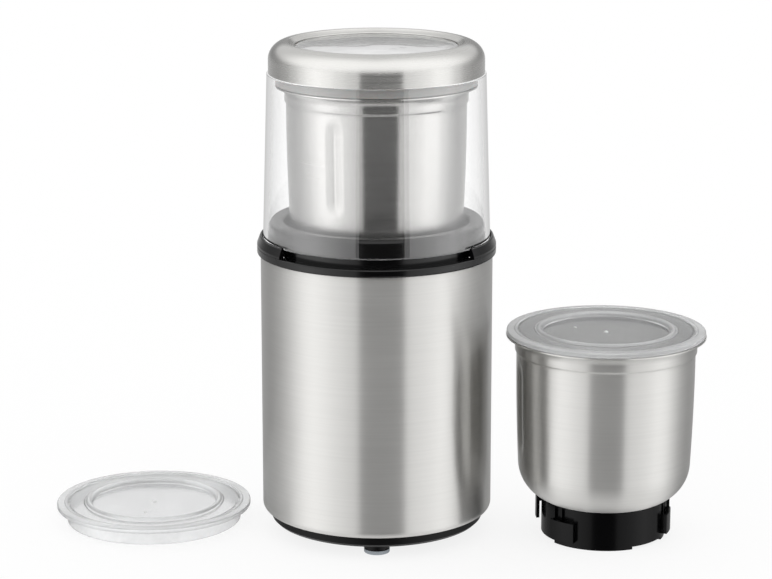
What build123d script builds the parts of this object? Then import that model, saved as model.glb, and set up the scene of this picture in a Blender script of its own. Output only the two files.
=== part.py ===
from build123d import *
from math import cos, radians, sin, tan
import os

os.makedirs("parts", exist_ok=True)

# Electric spice grinder with a mounted two-blade cup under its press-on lid, a spare
# four-blade cup with a storage lid on, and a loose storage lid. Millimetres, Z up, the
# front towards -Y. The origin is on the worktop, under the middle of the motor base.

# ---- Driving dimensions -------------------------------------------------------------

# Motor base
SLEEVE_WALL = 0.6
SLEEVE_BOTTOM = 10.0
SLEEVE_TOP = 130.0
HEM_RADIUS = 3.0
HEM_LIP = 1.9
COVER_BOTTOM = 5.0
COVER_INSET = 1.15
COVER_STEP = 1.05
COVER_UPSTAND = 10.0
PLASTIC_WALL = 2.0
FLOOR_THICKNESS = 2.5
FOOT_INSET = 9.75
FOOT_COUNT = 3
FOOT_POST_RADIUS = 5.4
FOOT_PAD_RADIUS = 5.8
FOOT_PAD_HEIGHT = 1.8
VENT_COUNT = 12
VENT_WIDTH = 2.6
VENT_LENGTH = 13.0
VENT_CIRCLE_RADIUS = 21.0
PILLAR_INSET = 10.4
PILLAR_RADIUS = 3.6
PILLAR_JOINT_HEIGHT = 38.0
GLAND_HEIGHT = 28.0
GLAND_RADIUS = 5.0
GLAND_BORE_RADIUS = 3.2
GLAND_FLANGE = 1.8
GLAND_THICKNESS = 1.5

# Collar and cup well
LIP_OVERHANG = 1.55
LIP_HEIGHT = 3.5
LIP_EDGE_RADIUS = 0.7
EAR_HEIGHT = 4.8
EAR_GAP_ANGLE = 52.8
EAR_TOP_WIDTH = 1.1
RING_HEIGHT = 12.25
RING_EDGE_RADIUS = 2.0
WELL_DEPTH = 32.75
WELL_CLEARANCE = 2.3
MOUTH_CLEARANCE = 1.0
SHOULDER_RISE = 6.5
SHOULDER_HEIGHT = 18.5
LEDGE_THICKNESS = 2.6
SPLASH_HEIGHT = 2.4
SPLASH_WALL = 1.2
TWIST_ANGLE = 18.0

# Grinding cup, measured from the bottom of its skirt
CUP_RADIUS = 40.5
CUP_WALL = 0.6
CUP_FLOOR = 16.5
CUP_HEIGHT = 94.0
CUP_CORNER = 20.0
NECK_HEIGHT = 7.2
NECK_STEP = 0.7
FLARE_RADIUS = 4.0
GROOVE_WIDTH = 7.0
GROOVE_DEPTH = 1.8
GROOVE_LOW = 41.0
GROOVE_HIGH = 80.0
GROOVE_TURN = -79.0
SKIRT_INSET = 12.3
SKIRT_WEB = 3.0
LUG_REACH = 2.8
LUG_COUNT = 3
LUG_ARC = 25.0
LUG_BOTTOM = 3.0
LUG_HEIGHT = 9.0
HOOK_THICKNESS = 1.4
HOOK_ARC = 23.0
HOOK_BOTTOM = 8.0
SKIRT_RELIEF = 1.2

# Knife and drive dogs
SPINDLE_RADIUS = 3.0
BEARING_RADIUS = 6.0
BEARING_FLANGE = 10.0
BEARING_HEIGHT = 9.0
NUT_FLATS = 17.0
KNIFE_RADIUS = 31.0
KNIFE_FLAT = 15.0
KNIFE_WIDTH = 10.0
KNIFE_THICKNESS = 1.5
KNIFE_RISE_ANGLE = 24.0
KNIFE_DROP_ANGLE = 8.0
DOG_RADIUS = 11.0
DOG_HEIGHT = 3.0
DOG_ARC = 60.0
COUPLING_DISC = 3.0

# Lid
DOME_INSET = 1.2
DOME_TAPER = 2.2
DOME_WALL = 2.0
RIM_GAP = 1.9
DOME_DROP = 1.0
LID_TRAVEL = 3.0
CAP_INSET = 0.7
CAP_WALL = 0.6
CAP_HEIGHT = 13.9
CAP_EDGE_RADIUS = 6.0
CAP_RIM_WIDTH = 12.5
WINDOW_DROP = 1.45
SEAL_HEIGHT = 6.0
SEAL_LIP = 0.9
SEAL_WIDTH = 3.2

# Storage lids
FLANGE_INSET = 0.2
FLANGE_THICKNESS = 2.2
PLUG_DEPTH = 6.7
PLUG_WALL = 1.5
BEAD_INSET = 10.0
BEAD_WIDTH = 2.8
BEAD_HEIGHT = 0.8
PANEL_DROP = 1.5

# Motor
SHAFT_RADIUS = 4.0
BALL_BEARING_RADIUS = 11.0
BALL_BEARING_WIDTH = 7.0
RUBBER_HEIGHT = 3.0
RUBBER_RADIUS = 4.5
MOUNT_CIRCLE_RADIUS = 30.0
MOUNT_POST = 4.5
BRACKET_PLATE = 3.0
BRACKET_CORNER = 6.0
BRUSH_MARGIN = 8.0
HUB_WALL = 2.5
HUB_FLOOR = 1.5
AIR_SLOT_LENGTH = 26.0
AIR_SLOT_WIDTH = 8.0
AIR_SLOT_SHIFT = 19.0
AIR_HOLE_RADIUS = 4.2
STATOR_WIDTH = 56.0
STATOR_DEPTH = 50.0
STACK_HEIGHT = 30.0
ARMATURE_RADIUS = 14.8
AIR_GAP = 0.7
SLOT_COUNT = 12
SLOT_DEPTH = 4.6
POLE_WIDTH = 15.0
SHOE_THICKNESS = 2.3
SHOE_HALF_ANGLE = 62.0
YOKE_WALL = 3.0
COIL_THICKNESS = 4.2
COIL_HALF_ANGLE = 58.0
COIL_LEG_ANGLE = 30.0
COIL_OVERHANG = 7.0
COMMUTATOR_RADIUS = 9.5
COMMUTATOR_LENGTH = 9.5
FAN_RADIUS = 25.0
FAN_HEIGHT = 8.0
FAN_BLADES = 10
FAN_BLADE_LENGTH = 12.5
FAN_BLADE_SLANT = 28.0
FAN_DISC = 1.2
LEG_X = 23.5
LEG_Y = 20.5
LEG_RADIUS = 3.8
LEG_THREAD = 9.0

# Lid switch
PLUNGER_ANGLE = 31.0
PLUNGER_RADIUS = 0.95
ARM_WIDTH = 3.4
ARM_THICKNESS = 2.0
SPRING_SEAT_DROP = 15.9
SPRING_SEAT_REACH = 3.4
SPRING_SEAT_HALF_ANGLE = 2.8
SPRING_LENGTH = 9.5
ARM_WINDOW_DROP = 2.9
SWITCH_LIFT = 5.7
SWITCH_INSET = 5.2
SWITCH_WEB = 2.3
SWITCH_SCREW_DROP = 7.2
SWITCH_SCREW_SHIFT = 4.75
SWITCH_SCREW_RADIUS = 1.1
SWITCH_LENGTH = 19.8
SWITCH_WIDTH = 6.4
SWITCH_HEIGHT = 10.2
SPRING_WIRE = 0.4

# Screws
SCREW_RADIUS = 1.5
SCREW_HEAD_RADIUS = 2.6
SCREW_HEAD_HEIGHT = 2.2
SCREW_SEAT_DROP = 6.0
SCREW_GRIP = 12.0

# Places of the loose pieces, and the turns of the two cups
SPARE_X = 103.8
SPARE_Y = -10.5
LOOSE_X = -104.0
LOOSE_Y = 10.7
MOUNTED_TURN = 50.0

# Clearances
RUN_FIT = 0.05
SEAT_FIT = 0.02
SLIP = 0.15
CLEAR = 0.4

# ---- Sizes worked out from them -----------------------------------------------------

neck_radius = CUP_RADIUS + NECK_STEP
rim_radius = neck_radius + FLARE_RADIUS
dome_top_radius = rim_radius + RIM_GAP + DOME_WALL
dome_base_radius = dome_top_radius + DOME_TAPER
body_radius = dome_base_radius + DOME_INSET
sleeve_inner = body_radius - SLEEVE_WALL
lip_radius = body_radius + LIP_OVERHANG
deck = SLEEVE_TOP + LIP_HEIGHT
dome_base_inner = dome_base_radius - DOME_WALL
dome_bottom = deck + LID_TRAVEL + 2 * CLEAR
ear_inner = dome_base_radius + CLEAR
ring_radius = dome_base_inner - DOME_WALL / 3
ring_top = deck + RING_HEIGHT
mouth_radius = CUP_RADIUS + MOUTH_CLEARANCE
skirt_radius = CUP_RADIUS - SKIRT_INSET
lug_radius = skirt_radius + LUG_REACH
well_radius = lug_radius + WELL_CLEARANCE
well_floor = ring_top - WELL_DEPTH
floor_underside = well_floor - FLOOR_THICKNESS
shoulder_low = well_floor + SHOULDER_HEIGHT
shoulder_top = shoulder_low + SHOULDER_RISE
skirt_outer = sleeve_inner - SLIP
cup_rim = well_floor + CUP_HEIGHT
rib_bottom = cup_rim + SEAL_HEIGHT
dome_top = rib_bottom - DOME_DROP
cap_radius = dome_top_radius - CAP_INSET
window_radius = cap_radius - CAP_RIM_WIDTH
cap_top = dome_top + CAP_HEIGHT
panel_top = cap_top - WINDOW_DROP - CAP_WALL - SEAT_FIT
cover_radius = body_radius - HEM_RADIUS - COVER_INSET
foot_circle = cover_radius - FOOT_INSET
pillar_circle = sleeve_inner - PILLAR_INSET
slope_underside = shoulder_top - PLASTIC_WALL - 1.3
lug_top = LUG_BOTTOM + LUG_HEIGHT
screw_hole = SCREW_RADIUS + SEAT_FIT
screw_passage = SCREW_RADIUS + 0.1

# Levels of the motor, down from the floor of the well
mount_top = floor_underside - MOUNT_POST
plate_top = mount_top - RUBBER_HEIGHT
plate_low = plate_top - BRACKET_PLATE
hub_top = plate_low + BALL_BEARING_WIDTH + HUB_FLOOR
stack_top = plate_low - FAN_HEIGHT - COIL_OVERHANG - 3.0
stack_low = stack_top - STACK_HEIGHT
commutator_top = stack_low - COIL_OVERHANG - 4.0
commutator_low = commutator_top - COMMUTATOR_LENGTH
lower_plate_top = commutator_low - 0.5
lower_plate_low = lower_plate_top - BRACKET_PLATE
lower_bearing_low = lower_plate_top - BALL_BEARING_WIDTH
fan_low = plate_low - FAN_HEIGHT - 1.5
bore_radius = ARMATURE_RADIUS + AIR_GAP
hub_radius = BALL_BEARING_RADIUS + HUB_WALL
drive_disc = well_floor + 0.6

mounted = Location((0, 0, well_floor), (0, 0, MOUNTED_TURN))
spare = Location((SPARE_X, SPARE_Y, 0))
switch_station = Location((0, 0, 0), (0, 0, PLUNGER_ANGLE))


# ---- Shared forms -------------------------------------------------------------------


def polar(radius, angle):
    """Point at a radius and an angle in degrees."""
    return (radius * cos(radians(angle)), radius * sin(radians(angle)))


def turned(*outline):
    """Solid of revolution about Z from its (radius, height) corners."""
    with BuildPart() as solid:
        with BuildSketch(Plane.XZ):
            with BuildLine():
                Polyline(*outline, close=True)
            make_face()
        revolve(axis=Axis.Z)
    return solid.part


def tube(inner, outer, low, high):
    """Ring with a flat top and bottom."""
    return turned((inner, low), (outer, low), (outer, high), (inner, high))


def sector(inner, outer, start, end):
    """Flat ring sector between two angles in degrees."""
    with BuildSketch() as flat:
        with BuildLine():
            CenterArc((0, 0), outer, start, end - start)
            CenterArc((0, 0), inner, start, end - start)
            Line(polar(inner, start), polar(outer, start))
            Line(polar(inner, end), polar(outer, end))
        make_face()
    return flat.sketch_local


def arc_block(inner, outer, start, end, low, high):
    """Ring sector with a height."""
    with BuildPart() as block:
        with BuildSketch(Plane.XY.offset(low)):
            add(sector(inner, outer, start, end))
        extrude(amount=high - low)
    return block.part


def coil_spring(radius, wire, low, high, turns):
    """Helical spring of round wire, standing on Z."""
    with BuildPart() as spring:
        with BuildLine():
            path = Helix((high - low - 2 * wire) / turns, high - low - 2 * wire, radius, (0, 0, low + wire))
        with BuildSketch(Plane(path @ 0, z_dir=path % 0)):
            Circle(wire)
        sweep(is_frenet=True)
    return spring.part


# ---- Motor base: sleeve, collar, cover, feet ----------------------------------------

# Brushed steel sleeve, hemmed inwards at its bottom edge
with BuildPart() as body_shell:
    with BuildSketch(Plane.XZ):
        with BuildLine():
            hem_end = body_radius - HEM_RADIUS - HEM_LIP
            Polyline(
                (body_radius, SLEEVE_BOTTOM + HEM_RADIUS),
                (body_radius, SLEEVE_TOP),
                (sleeve_inner, SLEEVE_TOP),
                (sleeve_inner, SLEEVE_BOTTOM + HEM_RADIUS),
            )
            CenterArc(
                (body_radius - HEM_RADIUS, SLEEVE_BOTTOM + HEM_RADIUS), HEM_RADIUS - SLEEVE_WALL, 0, -90
            )
            Polyline(
                (body_radius - HEM_RADIUS, SLEEVE_BOTTOM + SLEEVE_WALL),
                (hem_end, SLEEVE_BOTTOM + SLEEVE_WALL),
                (hem_end, SLEEVE_BOTTOM),
                (body_radius - HEM_RADIUS, SLEEVE_BOTTOM),
            )
            CenterArc((body_radius - HEM_RADIUS, SLEEVE_BOTTOM + HEM_RADIUS), HEM_RADIUS, -90, 90)
        make_face()
    revolve(axis=Axis.Z)
    with BuildSketch(Plane.XZ.offset(-body_radius - 1)):
        with Locations((0, GLAND_HEIGHT)):
            Circle(GLAND_RADIUS + SLIP)
    extrude(amount=6, mode=Mode.SUBTRACT)
body_shell.part.label = "body_shell"
export_step(body_shell.part, "parts/body_shell.step")

# Black collar: lip, raised ring, well with its sloping shoulder, skirt inside the sleeve
pocket_inner = dome_base_inner - 0.3
pocket_outer = ear_inner - SEAT_FIT
pocket_floor = deck - LID_TRAVEL - 0.6
pocket_half_angle = 4.6
pocket_angles = [PLUNGER_ANGLE, -PLUNGER_ANGLE, 180 - PLUNGER_ANGLE, 180 + PLUNGER_ANGLE]
plunger_circle = (dome_base_inner + dome_base_radius) / 2 - 0.3
spring_seat = pocket_floor - SPRING_SEAT_DROP
arm_low = spring_seat + SPRING_LENGTH
window_top = pocket_floor - ARM_WINDOW_DROP
switch_top = spring_seat + SWITCH_LIFT
switch_low = switch_top - SWITCH_HEIGHT
switch_screw_height = switch_top - SWITCH_SCREW_DROP
switch_centre = plunger_circle - SWITCH_INSET
web_outer = switch_centre - SWITCH_WIDTH / 2
with BuildPart() as collar_ears:
    add(
        turned(
            (ear_inner, deck),
            (ear_inner, deck + EAR_HEIGHT - 0.3),
            (ear_inner + 0.3, deck + EAR_HEIGHT),
            (ear_inner + EAR_TOP_WIDTH - 0.4, deck + EAR_HEIGHT),
            (ear_inner + EAR_TOP_WIDTH, deck + EAR_HEIGHT - 0.5),
            (lip_radius, deck + 1.0),
            (lip_radius, deck),
        )
    )
    with BuildSketch(Plane.XY.offset(deck)):
        for side in (0, 180):
            half_ear = 90 - EAR_GAP_ANGLE
            add(sector(ring_radius, lip_radius + 1, side - half_ear, side + half_ear))
    extrude(amount=EAR_HEIGHT, mode=Mode.INTERSECT)

with BuildPart() as top_collar:
    add(
        turned(
            (lip_radius, SLEEVE_TOP),
            (lip_radius, deck),
            (ring_radius, deck),
            (ring_radius, ring_top),
            (mouth_radius, ring_top),
            (mouth_radius, shoulder_top),
            (well_radius, shoulder_low),
            (well_radius, well_floor),
            (SHAFT_RADIUS + 3.0, well_floor),
            (SHAFT_RADIUS + 3.0, floor_underside),
            (well_radius + PLASTIC_WALL, floor_underside),
            (well_radius + PLASTIC_WALL, shoulder_low - 1.0),
            (mouth_radius + PLASTIC_WALL, shoulder_top - 1.4),
            (mouth_radius + PLASTIC_WALL, ring_top - PLASTIC_WALL),
            (ring_radius - PLASTIC_WALL, ring_top - PLASTIC_WALL),
            (ring_radius - PLASTIC_WALL, deck - PLASTIC_WALL),
            (skirt_outer - PLASTIC_WALL, deck - PLASTIC_WALL),
            (skirt_outer - PLASTIC_WALL, spring_seat - PLASTIC_WALL),
            (skirt_outer, spring_seat - PLASTIC_WALL),
            (skirt_outer, SLEEVE_TOP),
        )
    )
    circles = top_collar.edges().filter_by(GeomType.CIRCLE)
    fillet(circles.group_by(Axis.Z)[-1], RING_EDGE_RADIUS)
    circles = top_collar.edges().filter_by(GeomType.CIRCLE)
    fillet([edge for edge in circles if abs(edge.radius - lip_radius) < 0.01], LIP_EDGE_RADIUS)
    add(collar_ears.part)
    # Splash ring around the drive disc
    splash_inner = DOG_RADIUS + 1.0
    add(tube(splash_inner, splash_inner + SPLASH_WALL, well_floor - 1, well_floor + SPLASH_HEIGHT))
    # Bayonet ledges: each starts just past a lug, on the side that it turns to
    for k in range(LUG_COUNT):
        ledge_start = MOUNTED_TURN - LUG_ARC + k * 360 / LUG_COUNT - 1.5
        add(
            arc_block(
                skirt_radius + 0.8,
                well_radius + 1,
                ledge_start - TWIST_ANGLE,
                ledge_start,
                well_floor + lug_top + CLEAR,
                well_floor + lug_top + CLEAR + LEDGE_THICKNESS,
            )
        )
    # Posts for the rubber mounts and long pillars down to the bottom cover
    with BuildSketch(Plane.XY.offset(mount_top)):
        with PolarLocations(MOUNT_CIRCLE_RADIUS, 4):
            Circle(RUBBER_RADIUS)
    extrude(amount=MOUNT_POST)
    with BuildSketch(Plane.XY.offset(PILLAR_JOINT_HEIGHT)):
        with PolarLocations(pillar_circle, FOOT_COUNT, start_angle=90):
            Circle(PILLAR_RADIUS)
    extrude(amount=slope_underside - PILLAR_JOINT_HEIGHT)
    # Four pockets under the dome's tabs
    for angle in pocket_angles:
        wide = pocket_half_angle + 2
        add(
            arc_block(
                pocket_inner - 2, skirt_outer, angle - wide, angle + wide, pocket_floor - 2.2, deck - 1.0
            )
        )
    for angle in pocket_angles:
        add(
            arc_block(
                pocket_inner,
                pocket_outer,
                angle - pocket_half_angle,
                angle + pocket_half_angle,
                pocket_floor,
                deck + 1,
            ),
            mode=Mode.SUBTRACT,
        )
    # Switch bay: spring seat, hanging web, plunger hole and the arm's window in the skirt
    add(
        arc_block(
            skirt_outer - SPRING_SEAT_REACH,
            skirt_outer,
            PLUNGER_ANGLE - SPRING_SEAT_HALF_ANGLE,
            PLUNGER_ANGLE + SPRING_SEAT_HALF_ANGLE,
            spring_seat - PLASTIC_WALL,
            spring_seat,
        )
    )
    with Locations(switch_station):
        with Locations((web_outer - SWITCH_WEB / 2, 0, (switch_low + slope_underside) / 2)):
            Box(SWITCH_WEB, SWITCH_LENGTH, slope_underside - switch_low)
        with Locations((plunger_circle, 0, pocket_floor)):
            Cylinder(PLUNGER_RADIUS + RUN_FIT, 8, mode=Mode.SUBTRACT)
        with Locations((skirt_outer, 0, (spring_seat + window_top) / 2)):
            Box(4 * PLASTIC_WALL, ARM_WIDTH + 3 * CLEAR, window_top - spring_seat, mode=Mode.SUBTRACT)
        pilot = SWITCH_SCREW_RADIUS + SEAT_FIT
        for shift in (-SWITCH_SCREW_SHIFT, SWITCH_SCREW_SHIFT):
            with Locations((web_outer - SWITCH_WEB / 2, shift, switch_screw_height)):
                Cylinder(pilot, 2 * SWITCH_WEB, rotation=(0, 90, 0), mode=Mode.SUBTRACT)
    # Screw holes in the posts and the pillars
    with BuildSketch(Plane.XY.offset(mount_top)):
        with PolarLocations(MOUNT_CIRCLE_RADIUS, 4):
            Circle(screw_hole)
    extrude(amount=MOUNT_POST - 1, mode=Mode.SUBTRACT)
    with BuildSketch(Plane.XY.offset(PILLAR_JOINT_HEIGHT)):
        with PolarLocations(pillar_circle, FOOT_COUNT, start_angle=90):
            Circle(screw_hole)
    extrude(amount=SCREW_GRIP + 2, mode=Mode.SUBTRACT)
top_collar.part.label = "top_collar"
export_step(top_collar.part, "parts/top_collar.step")

# Bottom cover: stepped rim under the sleeve's hem, air slots, foot posts, screw pillars
with BuildPart() as bottom_cover:
    inner_wall = cover_radius - COVER_STEP - PLASTIC_WALL
    add(
        turned(
            (0, COVER_BOTTOM),
            (cover_radius - 1.2, COVER_BOTTOM),
            (cover_radius, COVER_BOTTOM + 1.2),
            (cover_radius, SLEEVE_BOTTOM),
            (cover_radius - COVER_STEP, SLEEVE_BOTTOM),
            (cover_radius - COVER_STEP, SLEEVE_BOTTOM + COVER_UPSTAND),
            (inner_wall, SLEEVE_BOTTOM + COVER_UPSTAND),
            (inner_wall, COVER_BOTTOM + FLOOR_THICKNESS),
            (0, COVER_BOTTOM + FLOOR_THICKNESS),
        )
    )
    with BuildSketch(Plane.XY.offset(FOOT_PAD_HEIGHT)):
        with PolarLocations(foot_circle, FOOT_COUNT, start_angle=-90):
            Circle(FOOT_POST_RADIUS)
    extrude(amount=COVER_BOTTOM - FOOT_PAD_HEIGHT)
    with BuildSketch(Plane.XY.offset(COVER_BOTTOM)):
        with PolarLocations(pillar_circle, FOOT_COUNT, start_angle=90):
            Circle(PILLAR_RADIUS)
    extrude(amount=PILLAR_JOINT_HEIGHT - COVER_BOTTOM)
    with BuildSketch(Plane.XY.offset(COVER_BOTTOM)):
        with PolarLocations(VENT_CIRCLE_RADIUS, VENT_COUNT):
            SlotOverall(VENT_LENGTH, VENT_WIDTH)
    extrude(amount=FLOOR_THICKNESS, mode=Mode.SUBTRACT)
    with BuildSketch(Plane.XY.offset(COVER_BOTTOM)):
        with PolarLocations(pillar_circle, FOOT_COUNT, start_angle=90):
            Circle(SCREW_HEAD_RADIUS + SLIP)
    extrude(amount=PILLAR_JOINT_HEIGHT - COVER_BOTTOM - SCREW_SEAT_DROP, mode=Mode.SUBTRACT)
    with BuildSketch(Plane.XY.offset(COVER_BOTTOM)):
        with PolarLocations(pillar_circle, FOOT_COUNT, start_angle=90):
            Circle(screw_passage)
    extrude(amount=PILLAR_JOINT_HEIGHT - COVER_BOTTOM, mode=Mode.SUBTRACT)
bottom_cover.part.label = "bottom_cover"
export_step(bottom_cover.part, "parts/bottom_cover.step")

# Rubber pads under the foot posts
with BuildPart() as foot_pads:
    with BuildSketch():
        with PolarLocations(foot_circle, FOOT_COUNT, start_angle=-90):
            Circle(FOOT_PAD_RADIUS)
    extrude(amount=FOOT_PAD_HEIGHT)
    fillet(foot_pads.edges().group_by(Axis.Z)[0], 0.5)
foot_pads.part.label = "foot_pads"
export_step(foot_pads.part, "parts/foot_pads.step")

# Long screws that clamp the cover, the sleeve and the collar together
with BuildPart() as bottom_screws:
    seat = PILLAR_JOINT_HEIGHT - SCREW_SEAT_DROP
    with BuildSketch(Plane.XY.offset(seat - SCREW_HEAD_HEIGHT)):
        with PolarLocations(pillar_circle, FOOT_COUNT, start_angle=90):
            Circle(SCREW_HEAD_RADIUS)
    extrude(amount=SCREW_HEAD_HEIGHT)
    with BuildSketch(Plane.XY.offset(seat)):
        with PolarLocations(pillar_circle, FOOT_COUNT, start_angle=90):
            Circle(SCREW_RADIUS)
    extrude(amount=SCREW_SEAT_DROP + SCREW_GRIP)
bottom_screws.part.label = "bottom_screws"
export_step(bottom_screws.part, "parts/bottom_screws.step")

# Gland for the power cord, at the back of the sleeve
gland_depth = 5.0
with BuildPart() as cord_gland:
    with BuildSketch(Plane.XZ.offset(gland_depth - sleeve_inner)):
        with Locations((0, GLAND_HEIGHT)):
            Circle(GLAND_RADIUS)
    extrude(amount=-gland_depth - GLAND_THICKNESS)
    with BuildSketch(Plane.XZ.offset(-body_radius - SEAT_FIT)):
        with Locations((0, GLAND_HEIGHT)):
            Circle(GLAND_RADIUS + GLAND_FLANGE)
    extrude(amount=-GLAND_THICKNESS)
    with BuildSketch(Plane.XZ.offset(GLAND_THICKNESS + 0.7 - sleeve_inner)):
        with Locations((0, GLAND_HEIGHT)):
            Circle(GLAND_RADIUS + GLAND_FLANGE / 1.5)
    extrude(amount=-GLAND_THICKNESS)
    fillet(cord_gland.edges().group_by(Axis.Y)[-1], 0.6)
    with BuildSketch(Plane.XZ.offset(gland_depth + 1 - sleeve_inner)):
        with Locations((0, GLAND_HEIGHT)):
            Circle(GLAND_BORE_RADIUS)
    extrude(amount=-2 * gland_depth, mode=Mode.SUBTRACT)
cord_gland.part.label = "cord_gland"
export_step(cord_gland.part, "parts/cord_gland.step")

# ---- Motor: brackets, stator, brushes -----------------------------------------------

leg_places = [(x, y) for x in (-LEG_X, LEG_X) for y in (-LEG_Y, LEG_Y)]

# Upper bracket: bearing hub, plate with air windows, four mounting ears, four legs
with BuildPart() as upper_bracket:
    with BuildSketch(Plane.XY.offset(plate_low)):
        RectangleRounded(STATOR_WIDTH, STATOR_DEPTH, BRACKET_CORNER)
        Rectangle(2 * RUBBER_RADIUS, 2 * MOUNT_CIRCLE_RADIUS)
        Rectangle(2 * MOUNT_CIRCLE_RADIUS, 2 * RUBBER_RADIUS)
        with PolarLocations(MOUNT_CIRCLE_RADIUS, 4):
            Circle(RUBBER_RADIUS + 0.5)
        with PolarLocations(STATOR_WIDTH * 0.34, 4, start_angle=45):
            Circle(AIR_HOLE_RADIUS, mode=Mode.SUBTRACT)
    extrude(amount=BRACKET_PLATE)
    add(tube(0, hub_radius, plate_low, hub_top))
    add(tube(0, BALL_BEARING_RADIUS + RUN_FIT, plate_low, hub_top - HUB_FLOOR), mode=Mode.SUBTRACT)
    add(tube(0, SHAFT_RADIUS + 2, plate_low, hub_top), mode=Mode.SUBTRACT)
    with BuildSketch(Plane.XY.offset(stack_top)):
        with Locations(*leg_places):
            Circle(LEG_RADIUS)
    extrude(amount=plate_low - stack_top)
    with BuildSketch(Plane.XY.offset(plate_low)):
        with PolarLocations(MOUNT_CIRCLE_RADIUS, 4):
            Circle(screw_passage)
    extrude(amount=BRACKET_PLATE, mode=Mode.SUBTRACT)
    with BuildSketch(Plane.XY.offset(stack_top)):
        with Locations(*leg_places):
            Circle(screw_hole)
    extrude(amount=LEG_THREAD + 1, mode=Mode.SUBTRACT)
upper_bracket.part.label = "upper_bracket"
export_step(upper_bracket.part, "parts/upper_bracket.step")

# Lower bracket: bearing hub, plate that carries the brush holders, four legs
with BuildPart() as lower_bracket:
    with BuildSketch(Plane.XY.offset(lower_plate_low)):
        RectangleRounded(STATOR_WIDTH, STATOR_DEPTH + BRUSH_MARGIN, BRACKET_CORNER)
        with Locations((-AIR_SLOT_SHIFT, 0), (AIR_SLOT_SHIFT, 0)):
            SlotOverall(AIR_SLOT_LENGTH, AIR_SLOT_WIDTH, rotation=90, mode=Mode.SUBTRACT)
    extrude(amount=BRACKET_PLATE)
    add(tube(0, hub_radius, lower_bearing_low - HUB_FLOOR, lower_plate_top))
    add(
        tube(0, BALL_BEARING_RADIUS + RUN_FIT, lower_bearing_low, lower_plate_top + 1),
        mode=Mode.SUBTRACT,
    )
    add(tube(0, SHAFT_RADIUS + 2, lower_bearing_low - 2, lower_plate_top), mode=Mode.SUBTRACT)
    with BuildSketch(Plane.XY.offset(lower_plate_top)):
        with Locations(*leg_places):
            Circle(LEG_RADIUS)
    extrude(amount=stack_low - lower_plate_top)
    with BuildSketch(Plane.XY.offset(lower_plate_low)):
        with Locations(*leg_places):
            Circle(screw_passage)
    extrude(amount=stack_low - lower_plate_low, mode=Mode.SUBTRACT)
lower_bracket.part.label = "lower_bracket"
export_step(lower_bracket.part, "parts/lower_bracket.step")

# Stator core: laminated yoke with two wound poles
shoe_outer = bore_radius + SHOE_THICKNESS
yoke_inner = shoe_outer + COIL_THICKNESS
coil_inner = shoe_outer + 0.3
with BuildPart() as stator_core:
    with BuildSketch(Plane.XY.offset(stack_low)):
        RectangleRounded(STATOR_WIDTH, STATOR_DEPTH, 4)
        Circle(yoke_inner, mode=Mode.SUBTRACT)
        Rectangle(STATOR_WIDTH - 2 * YOKE_WALL, POLE_WIDTH)
        for side in (0, 180):
            add(sector(bore_radius - 1, shoe_outer, side - SHOE_HALF_ANGLE, side + SHOE_HALF_ANGLE))
        Circle(bore_radius, mode=Mode.SUBTRACT)
        with Locations(*leg_places):
            Circle(screw_passage, mode=Mode.SUBTRACT)
    extrude(amount=STACK_HEIGHT)
stator_core.part.label = "stator_core"
export_step(stator_core.part, "parts/stator_core.step")

# Field coils: two legs through the slots and an end bridge above and below the stack
with BuildPart() as field_coils:
    coil_low = stack_low - COIL_OVERHANG
    coil_top = stack_top + COIL_OVERHANG
    for side in (0, 180):
        first = side - COIL_HALF_ANGLE
        last = side + COIL_HALF_ANGLE
        for start in (first, last - COIL_LEG_ANGLE):
            end = start + COIL_LEG_ANGLE
            add(arc_block(coil_inner, yoke_inner - 0.3, start, end, coil_low + 1, coil_top - 1))
        for bridge_low, bridge_top in ((stack_top + 1, coil_top), (coil_low, stack_low - 1)):
            add(arc_block(coil_inner, yoke_inner + 2, first, last, bridge_low, bridge_top))
field_coils.part.label = "field_coils"
export_step(field_coils.part, "parts/field_coils.step")

# Ball bearings in the two hubs
for label, low in (("upper_bearing", plate_low), ("lower_bearing", lower_bearing_low)):
    with BuildPart() as ball_bearing:
        bore = SHAFT_RADIUS + RUN_FIT
        high = low + BALL_BEARING_WIDTH
        add(tube(bore, BALL_BEARING_RADIUS, low, high))
        for face_low, face_high in ((low, low + 0.6), (high - 0.6, high)):
            add(
                tube(bore + 1.8, BALL_BEARING_RADIUS - 1.8, face_low, face_high), mode=Mode.SUBTRACT
            )
    ball_bearing.part.label = label
    export_step(ball_bearing.part, f"parts/{label}.step")

# Brush gear: two holders on the lower bracket, with a sprung carbon brush in each
brush_level = lower_plate_top + 4.6
brush_tip = COMMUTATOR_RADIUS + 0.35
holder_end = STATOR_DEPTH / 2 + 3
brush_length = 10.5
with BuildPart() as brush_holders:
    with PolarLocations(0, 2, start_angle=90):
        with Locations(((brush_tip + 0.9 + holder_end) / 2, 0, brush_level)):
            Box(holder_end - brush_tip - 0.9, 9.2, 9.2)
    with PolarLocations(0, 2, start_angle=90):
        with Locations(((brush_tip + holder_end) / 2 - 0.9, 0, brush_level)):
            Box(holder_end - brush_tip - 1.2, 6.4, 6.4, mode=Mode.SUBTRACT)
brush_holders.part.label = "brush_holders"
export_step(brush_holders.part, "parts/brush_holders.step")

with BuildPart() as carbon_brushes:
    with PolarLocations(0, 2, start_angle=90):
        with Locations((brush_tip + brush_length / 2, 0, brush_level)):
            Box(brush_length, 6.2, 6.2)
carbon_brushes.part.label = "carbon_brushes"
export_step(carbon_brushes.part, "parts/carbon_brushes.step")

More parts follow.
